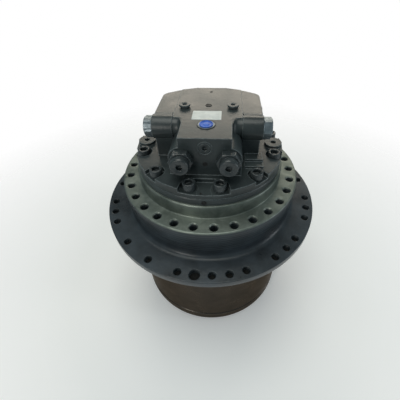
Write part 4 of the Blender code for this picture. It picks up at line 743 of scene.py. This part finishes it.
def make_plugs(finish, plastic, rubber, zinc):
    """Socket plugs, dark discs that lie flush, and the port's cap, washer and seal ring; two discs and the
    ring are painted shade.
    """
    plug = shaped(
        [
            (0.0, -0.0052, 1.0), (0.0050, -0.0038, 0.0040), (0.0050, -0.0006, 0.0040), (0.0056, 0.0, 1.0),
            (0.0100, 0.0, 1.0), (0.0110, -0.0006, 1.0), (0.0112, -0.0012, 1.0), (0.0112, -0.0028, 1.0),
            (0.0094, -0.0032, 1.0), (0.0094, -0.0060, 1.0), (0.0060, -0.0060, 1.0), (0.0060, -0.0190, 1.0),
            (0.0, -0.0200, 1.0),
        ],
        72,
    )
    for name, side in (("left", -1), ("right", 1)):
        patch = moved(plug, facing((0, 0, 1), (side * 0.0475, 0.009, BLOCK_TOP + 0.0063), 0.3))
        label = f"top_plug_{name}"
        mesh_object("fine_" + label, [patch], finish, "spindle_group", (label,), 22)
    flush = [
        (0.0, -0.0020, 1.0), (0.0058, -0.0020, 1.0), (0.0058, 0.0002, 1.0), (0.0054, 0.0006, 1.0),
        (0.0048, 0.0006, 1.0), (0.0044, 0.0002, 1.0), (0.0034, 0.0002, 1.0), (0.0026, 0.0004, 0.0020),
        (0.0026, 0.00025, 0.0020), (0.0, 0.00025, 1.0),
    ]
    # Dark rubber discs that lie flush: the second, on a small hole in the top face, and the fourth, on a
    # notch in the right wall, are painted shade in place of the hole's and the notch's shadow.
    spots = (
        ((0, 0, 1), (-0.001, 0.017, BLOCK_TOP), 1.15), ((0, 0, 1), (0.0006, 0.084, BLOCK_TOP), 0.6),
        ((0, -1, 0), (0.0, -VALVE_FACE, 0.4885), 0.8), ((1, 0, 0), (0.1042, 0.020, 0.5250), 2.1),
        ((0, -1, 0), (-0.005, -0.1537, 0.4605), 0.35), ((0, -1, 0), (0.0, -0.1548, 0.4375), 0.8),
    )
    for number, (way, place, size) in enumerate(spots, 1):
        patch = moved(shaped(flush, 36) * size, facing(way, place))
        mesh_object(f"flush_plug_and_shade_disc_{number}", [patch], rubber, "spindle_group")
    rows = [
        (0.0, -0.0140, 1.0), (0.0098, -0.0140, 1.0), (0.0105, -0.0132, 1.0), (0.0105, -0.0012, 1.0),
        (0.0096, -0.0003, 1.0), (0.0058, -0.0003, 1.0), (0.0052, -0.0009, 0.0045), (0.0052, -0.0070, 0.0045),
        (0.0, -0.0085, 1.0),
    ]
    patch = moved(shaped(rows, 48), facing((0, -1, 0), (0, -VALVE_FACE, FRONT_PLUG_Z)))
    mesh_object("fine_front_plug", [patch], finish, "spindle_group", ("front_plug",))
    rows = [
        (0.0, -0.0140, 1.0), (0.0122, -0.0140, 1.0), (0.0132, -0.0130, 1.0), (0.0132, -0.0004, 1.0),
        (0.0120, 0.0004, 1.0), (0.0125, 0.0010, 1.0), (0.0125, 0.0018, 1.0), (0.0120, 0.0024, 1.0),
        (0.0110, 0.0023, 1.0), (0.0100, 0.0012, 1.0), (0.0066, 0.0010, 1.0), (0.0050, 0.0021, 1.0),
        (0.0, 0.0023, 1.0),
    ]
    # The dark seal ring outside the washer is painted shade for the shadowed chamfer round the cap.
    washer_and_shade_rings = (("washer", 0.0124, 0.0153, 0.0010, zinc), ("seal", 0.0153, 0.0167, 0.0007, rubber))
    for name, near, far, level, stock in washer_and_shade_rings:
        outline = rounded([(near, -0.0002), (far, -0.0002), (far, level), (near, level)], 0.0004)
        patch = moved(turned(outline, full_turn(72)), facing((0, 0, 1), (0, PORT_Y, BLOCK_TOP)))
        mesh_object("port_cap_" + name, [patch], stock, "spindle_group")
    patch = moved(shaped(rows, 72), facing((0, 0, 1), (0, PORT_Y, BLOCK_TOP + 0.0003)))
    mesh_object("fine_port_cap", [patch], plastic, "spindle_group", ("port_cap",))


def make_port_cover(finish, sizes):
    """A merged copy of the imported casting, its edges rounded as a casting's are."""
    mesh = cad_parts["port_cover"].data.copy()
    mesh.name = "port_cover_casting"
    bm = bmesh.new()
    bm.from_mesh(mesh)
    bmesh.ops.remove_doubles(bm, verts=bm.verts, dist=0.00002)
    bmesh.ops.dissolve_limit(bm, angle_limit=math.radians(0.5), verts=bm.verts, edges=bm.edges)
    bm.to_mesh(mesh)
    bm.free()
    made = finish_object(
        "port_cover_casting", mesh, finish, "spindle_group", ("port_cover",), 30
    )
    normals = np.empty(len(mesh.polygons) * 3)
    mesh.polygons.foreach_get("normal", normals)
    level = np.abs(normals.reshape(-1, 3)).max(axis=1) > 0.99999
    mesh.polygons.foreach_set("use_smooth", ~level)
    edges = made.modifiers.new("Cast edges", "BEVEL")
    edges.width = sizes.cast_edge
    edges.segments = 3
    edges.limit_method = "ANGLE"
    edges.angle_limit = math.radians(32)
    edges.harden_normals = True
    return made


def make_fillets(finish):
    """Cast fillets at the spool bosses.

    A neck round the spool's axis flares from the boss's end to the tongue's wall, cut off level with the
    top face: z = min(z, top), and open inside where the spool slides. The wedge behind each boss is a
    profile in y and z, hollowed by 1.2 mm sin(pi t), carried along x and closed at both ends.
    """
    bore = 0.0125
    neck = rounded(
        [
            (bore, 0.040), (0.034, 0.040), (0.034, 0.0465), (0.0205, 0.050), (0.0200, 0.064),
            (0.0232, 0.076), (bore, 0.076),
        ],
        (0, 0, 0, 0.013, 0.012, 0.008, 0), steps=8,
    )
    wedge = rounded(
        [(-0.030, 0.5424), (-0.010, 0.5382), (-0.018, 0.530), (-0.030, 0.536)], (0, 0, 0.001, 0.001)
    )
    curve = wedge[:, 1] - 0.0012 * np.sin(np.clip((wedge[:, 0] + 0.030) / 0.020, 0, 1) * math.pi)
    x = np.array((0.0675, 0.068, 0.1025, 0.1035))
    scale = np.array((0.0, 1.0, 1.0, 0.0))
    middle = np.array((-0.023, 0.5375))
    for name, side in (("left", -1), ("right", 1)):
        patch = moved(turned(neck, full_turn(96)), facing((side, 0, 0), (0, SPOOL_Y, SPOOL_Z)))
        patch[..., 2] = np.minimum(patch[..., 2], BLOCK_TOP - 0.0003)
        line = np.stack((wedge[:, 0], curve), -1)
        strip = middle + (line - middle)[None] * scale[:, None, None]
        strip = np.insert(strip, 0, np.broadcast_to((side * x)[:, None], strip.shape[:2]), axis=-1)
        mesh_object(f"boss_fillet_{name}", [patch, strip], finish, "spindle_group", (), 60)
    boss = rounded(
        [(0.0104, -0.002), (0.0142, -0.002), (0.0142, 0.0008), (0.0104, 0.0008)], (0, 0, 0.0007, 0.0002)
    )
    patch = moved(turned(boss, full_turn(72)), facing((0, -1, 0), (0, -VALVE_FACE, FRONT_PLUG_Z)))
    mesh_object("front_plug_boss", [patch], finish, "spindle_group")


def make_label(finish, sizes):
    """A thin plate, bare: its outline is a rounded rectangle that a low profile follows."""
    half_x, half_y = sizes.label_width / 2, sizes.label_height / 2
    outline = rounded([(-half_x, -half_y), (half_x, -half_y), (half_x, half_y), (-half_x, half_y)], 0.0015)
    middle = np.array((-0.0015, -0.0255))
    rows = []
    for scale, z in ((1.0, -0.0001), (1.0, 0.0003), (0.99, 0.0005), (0.0, 0.0005)):
        rows.append(np.insert(outline * scale + middle, 2, BLOCK_TOP + z, axis=-1))
    base = np.insert(outline * 0.0 + middle, 2, BLOCK_TOP - 0.0001, axis=-1)
    return mesh_object("label_plate", [np.stack([base, *rows])], finish, "spindle_group")


INNER_FINISHES = {
    "gear": ("input_sun", "input_carrier", "output_sun", "output_carrier", "motor_shaft")
    + tuple(f"{stage}_planet_{k}" for stage in ("input", "output") for k in (1, 2, 3)),
    "ground": (
        "upper_bearing_inner_ring", "upper_bearing_outer_ring", "upper_bearing_rollers",
        "lower_bearing_inner_ring", "lower_bearing_outer_ring", "lower_bearing_rollers",
        "bearing_nut", "seal_ring_fixed", "seal_ring_turning", "cylinder_block", "piston_set",
        "shaft_bearing_lower", "shaft_bearing_upper", "brake_separator", "brake_piston",
        "counterbalance_spool",
    ),
    "bronze": ("swash_plate", "valve_plate"),
    "lining": ("brake_disc_lower", "brake_disc_upper"),
    "rubber": ("shaft_seal",),
    "black": ("fill_plug", "drain_plug"),
}


def dress_inner_pieces(finishes):
    for key, names in INNER_FINISHES.items():
        for name in names:
            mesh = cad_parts[name].data
            mesh.materials.clear()
            mesh.materials.append(finishes[key])


# Light and camera


def make_world():
    world = bpy.data.worlds.new("studio")
    bpy.context.scene.world = world
    world.use_nodes = True
    tree = world.node_tree
    tree.nodes.clear()
    seen = node(tree, "ShaderNodeBackground", {"Color": (1, 1, 1, 1), "Strength": 1.0})
    lit = node(tree, "ShaderNodeBackground", {"Color": linear("#d6ecf2"), "Strength": 0.27})
    path = node(tree, "ShaderNodeLightPath")
    sides = {0: path.outputs["Is Camera Ray"], 1: lit.outputs[0], 2: seen.outputs[0]}
    mix = node(tree, "ShaderNodeMixShader", sides)
    node(tree, "ShaderNodeOutputWorld", {"Surface": mix.outputs[0]})


def area_light(name, place, aim, size, power, colour="#ffffff"):
    data = bpy.data.lights.new(name, "AREA")
    data.shape = "RECTANGLE"
    data.size, data.size_y = size
    data.energy = power
    data.color = linear(colour)[:3]
    made = bpy.data.objects.new(name, data)
    bpy.context.scene.collection.objects.link(made)
    made.location = place
    made.rotation_euler = (Vector(aim) - Vector(place)).to_track_quat("-Z", "Y").to_euler()


def make_floor():
    """A pale sheet whose rows curve up at the back: z = 0 as far as y = 12, then a quarter circle.

    It thins out with the distance from the object, so that it runs into the white background.
    """
    made, tree, shader, place = start_material("pale_studio_paper")
    base = blend(tree, noise(tree, place, 0.25, 2.0), "#f6f6f5", "#fafafa")
    tree.links.new(base, shader.inputs["Base Color"])
    shader.inputs["Roughness"].default_value = 0.9
    shader.inputs["Specular IOR Level"].default_value = 0.1
    shader.inputs["Emission Color"].default_value = (1, 1, 1, 1)
    shader.inputs["Emission Strength"].default_value = 0.16
    far = node(tree, "ShaderNodeVectorMath", {0: place}, operation="LENGTH").outputs["Value"]
    tree.links.new(ramp(tree, far, FLOOR_FULL, FLOOR_GONE, 1.0, 0.0), shader.inputs["Alpha"])
    x = np.linspace(-14, 14, 15)
    y = np.concatenate((np.linspace(-6, 12, 19), 12 + 3 * np.sin(np.linspace(0.1, math.pi / 2, 10))))
    z = np.concatenate((np.zeros(19), 3 - 3 * np.cos(np.linspace(0.1, math.pi / 2, 10))))
    grid = np.stack(np.broadcast_arrays(x[None, :], y[:, None], (z - 0.0002)[:, None]), -1)
    mesh = bpy.data.meshes.new("floor")
    rows, columns = grid.shape[:2]
    index = np.arange(rows * columns).reshape(rows, columns)
    faces = np.stack((index[:-1, :-1], index[:-1, 1:], index[1:, 1:], index[1:, :-1]), -1).reshape(-1, 4)
    mesh.from_pydata(grid.reshape(-1, 3).tolist(), [], faces.tolist())
    mesh.materials.append(made)
    mesh.shade_smooth()
    floor = bpy.data.objects.new("floor", mesh)
    bpy.context.scene.collection.objects.link(floor)


def make_camera():
    """Looks down by the pitch, rolled about its own line of sight, all turned by the object's yaw."""
    look = Vector((0, math.cos(CAMERA_PITCH), -math.sin(CAMERA_PITCH)))
    up = Vector((0, math.sin(CAMERA_PITCH), math.cos(CAMERA_PITCH)))
    side = Vector((1, 0, 0))
    c, s = math.cos(CAMERA_ROLL), math.sin(CAMERA_ROLL)
    right, top = c * side + s * up, -s * side + c * up
    axes = Matrix((right, top, -look)).transposed().to_4x4()
    data = bpy.data.cameras.new("camera")
    data.lens = CAMERA_LENS
    data.sensor_width = 36
    data.shift_x, data.shift_y = CAMERA_SHIFT
    data.dof.use_dof = False
    made = bpy.data.objects.new("camera", data)
    bpy.context.scene.collection.objects.link(made)
    yaw = Matrix.Rotation(OBJECT_YAW, 4, "Z")
    made.matrix_world = Matrix.Translation((0, 0, FRAME_FACE)) @ yaw @ Matrix.Translation(CAMERA_PLACE) @ axes
    bpy.context.scene.camera = made


def make_stage():
    make_world()
    area_light("sky_panel", (0.1, 2.5, 1.5), (0, 0, 0.54), (2.8, 0.9), 23, "#fff3e0")
    area_light("top_panel", (-0.3, -0.1, 2.6), (0, 0, 0.3), (1.6, 1.6), 19, "#fbfdf6")
    area_light("left_strip", (-1.0, -2.0, 1.2), (0, 0, 0.45), (0.35, 0.9), 9, "#fffaf2")
    area_light("right_strip", (1.9, -0.4, 0.7), (0, 0, 0.3), (0.4, 1.4), 5, "#f4faff")
    make_floor()
    make_camera()
    view = bpy.context.scene.view_settings
    view.view_transform = "Standard"


class FinalDriveSizes(bpy.types.PropertyGroup):
    hole_chamfer: bpy.props.FloatProperty(
        name="Flange hole chamfer", description="Chamfer of the sprocket holes", default=0.0008, unit="LENGTH"
    )
    frame_hole_chamfer: bpy.props.FloatProperty(
        name="Frame hole chamfer", description="Chamfer of the tapped holes", default=0.0022, unit="LENGTH"
    )
    painted_edge: bpy.props.FloatProperty(
        name="Bare edge", description="Height of the flange's side that was milled bare", default=0.0016,
        unit="LENGTH",
    )
    hub_fillet: bpy.props.FloatProperty(
        name="Hub fillet", description="Fillet between hub neck and flange", default=0.017, unit="LENGTH"
    )
    cast_edge: bpy.props.FloatProperty(
        name="Cast edge", description="Rounding of the port cover's edges", default=0.0016, unit="LENGTH"
    )
    label_width: bpy.props.FloatProperty(
        name="Label width", description="Width of the bare label plate", default=0.055, unit="LENGTH"
    )
    label_height: bpy.props.FloatProperty(
        name="Label height", description="Height of the bare label plate", default=0.035, unit="LENGTH"
    )
    cover_bolts: bpy.props.IntProperty(
        name="Cover bolts", description="Bolts round the end cover", default=20, min=3, max=40
    )


class FinalDriveColours(bpy.types.PropertyGroup):
    casting: bpy.props.FloatVectorProperty(
        name="Port cover paint", description="Enamel on the port cover", size=4, subtype="COLOR",
        min=0, max=1, default=linear("#3d4647"),
    )
    hub: bpy.props.FloatVectorProperty(
        name="Hub primer", description="Primer on the hub", size=4, subtype="COLOR", min=0, max=1,
        default=linear("#3c454c"),
    )
    barrel: bpy.props.FloatVectorProperty(
        name="Barrel", description="Oiled steel of the barrel", size=4, subtype="COLOR", min=0, max=1,
        default=linear("#57524d"),
    )
    flange: bpy.props.FloatVectorProperty(
        name="Milled iron", description="Iron of the milled flange", size=4, subtype="COLOR", min=0, max=1,
        default=linear("#8a9189"),
    )
    cap: bpy.props.FloatVectorProperty(
        name="Port cap", description="Plastic of the port cap", size=4, subtype="COLOR", min=0, max=1,
        default=linear("#4577dd"),
    )


def settings():
    scene = bpy.context.scene
    return scene.final_drive_sizes, scene.final_drive_colours


FINISHES = {}


def finishes():
    if not FINISHES:
        FINISHES.update(make_finishes(settings()[1]))
    return FINISHES


class FINALDRIVE_OT_hub(bpy.types.Operator):
    """Turning hub with its sprocket flange"""

    bl_idname = "finaldrive.hub"
    bl_label = "Hub"

    def execute(self, context):
        cells = make_hub(finishes()["hub"], settings()[0])
        make_painted_hole_shade(finishes()["shade_in_holes"], cells)
        return {"FINISHED"}


class FINALDRIVE_OT_spindle(bpy.types.Operator):
    """Fixed spindle with the milled frame flange"""

    bl_idname = "finaldrive.spindle"
    bl_label = "Spindle"

    def execute(self, context):
        make_spindle(finishes()["flange"], finishes()["hub"], settings()[0])
        return {"FINISHED"}


class FINALDRIVE_OT_barrel(bpy.types.Operator):
    """Ring gear barrel and end cover with its bolts"""

    bl_idname = "finaldrive.barrel"
    bl_label = "Barrel"

    def execute(self, context):
        make_ring_gear(finishes()["barrel"])
        make_end_cover(finishes()["barrel"], finishes()["black"], settings()[0])
        return {"FINISHED"}


class FINALDRIVE_OT_port_cover(bpy.types.Operator):
    """Port cover casting with its bare label plate"""

    bl_idname = "finaldrive.port_cover"
    bl_label = "Port cover"

    def execute(self, context):
        make_port_cover(finishes()["casting"], settings()[0])
        make_fillets(finishes()["casting"])
        make_label(finishes()["label"], settings()[0])
        return {"FINISHED"}


class FINALDRIVE_OT_fasteners(bpy.types.Operator):
    """Cap screws, plugs and the port cap"""

    bl_idname = "finaldrive.fasteners"
    bl_label = "Screws and plugs"

    def execute(self, context):
        made = finishes()
        make_cover_screws(made["fittings"])
        make_plugs(made["casting"], made["plastic"], made["rubber"], made["zinc"])
        return {"FINISHED"}


class FINALDRIVE_OT_valves(bpy.types.Operator):
    """Counterbalance caps and relief valves"""

    bl_idname = "finaldrive.valves"
    bl_label = "Valves"

    def execute(self, context):
        make_valves(finishes()["zinc"], finishes()["fittings"])
        return {"FINISHED"}


class FINALDRIVE_OT_inner(bpy.types.Operator):
    """Finishes for gears, bearings, motor and brake"""

    bl_idname = "finaldrive.inner"
    bl_label = "Inner pieces"

    def execute(self, context):
        dress_inner_pieces(finishes())
        return {"FINISHED"}


class FINALDRIVE_OT_stage(bpy.types.Operator):
    """Floor, light and camera"""

    bl_idname = "finaldrive.stage"
    bl_label = "Stage"

    def execute(self, context):
        make_stage()
        return {"FINISHED"}


OPERATORS = (
    FINALDRIVE_OT_hub,
    FINALDRIVE_OT_spindle,
    FINALDRIVE_OT_barrel,
    FINALDRIVE_OT_port_cover,
    FINALDRIVE_OT_fasteners,
    FINALDRIVE_OT_valves,
    FINALDRIVE_OT_inner,
    FINALDRIVE_OT_stage,
)


class FINALDRIVE_PT_panel(bpy.types.Panel):
    bl_label = "Final drive"
    bl_idname = "FINALDRIVE_PT_panel"
    bl_space_type = "VIEW_3D"
    bl_region_type = "UI"
    bl_category = "Final drive"

    def draw(self, context):
        for group in settings():
            for name in group.bl_rna.properties.keys():
                if name not in ("rna_type", "name"):
                    self.layout.prop(group, name)
        for operator in OPERATORS:
            self.layout.operator(operator.bl_idname)


CLASSES = (FinalDriveSizes, FinalDriveColours, *OPERATORS, FINALDRIVE_PT_panel)


def register():
    for item in CLASSES:
        bpy.utils.register_class(item)
    bpy.types.Scene.final_drive_sizes = bpy.props.PointerProperty(type=FinalDriveSizes)
    bpy.types.Scene.final_drive_colours = bpy.props.PointerProperty(type=FinalDriveColours)


def unregister():
    del bpy.types.Scene.final_drive_sizes
    del bpy.types.Scene.final_drive_colours
    for item in reversed(CLASSES):
        bpy.utils.unregister_class(item)


def main():
    register()
    for operator in OPERATORS:
        group, name = operator.bl_idname.split(".")
        if getattr(getattr(bpy.ops, group), name)() != {"FINISHED"}:
            raise RuntimeError(f"{operator.bl_label} wasn't made")


if __name__ == "__main__":
    main()
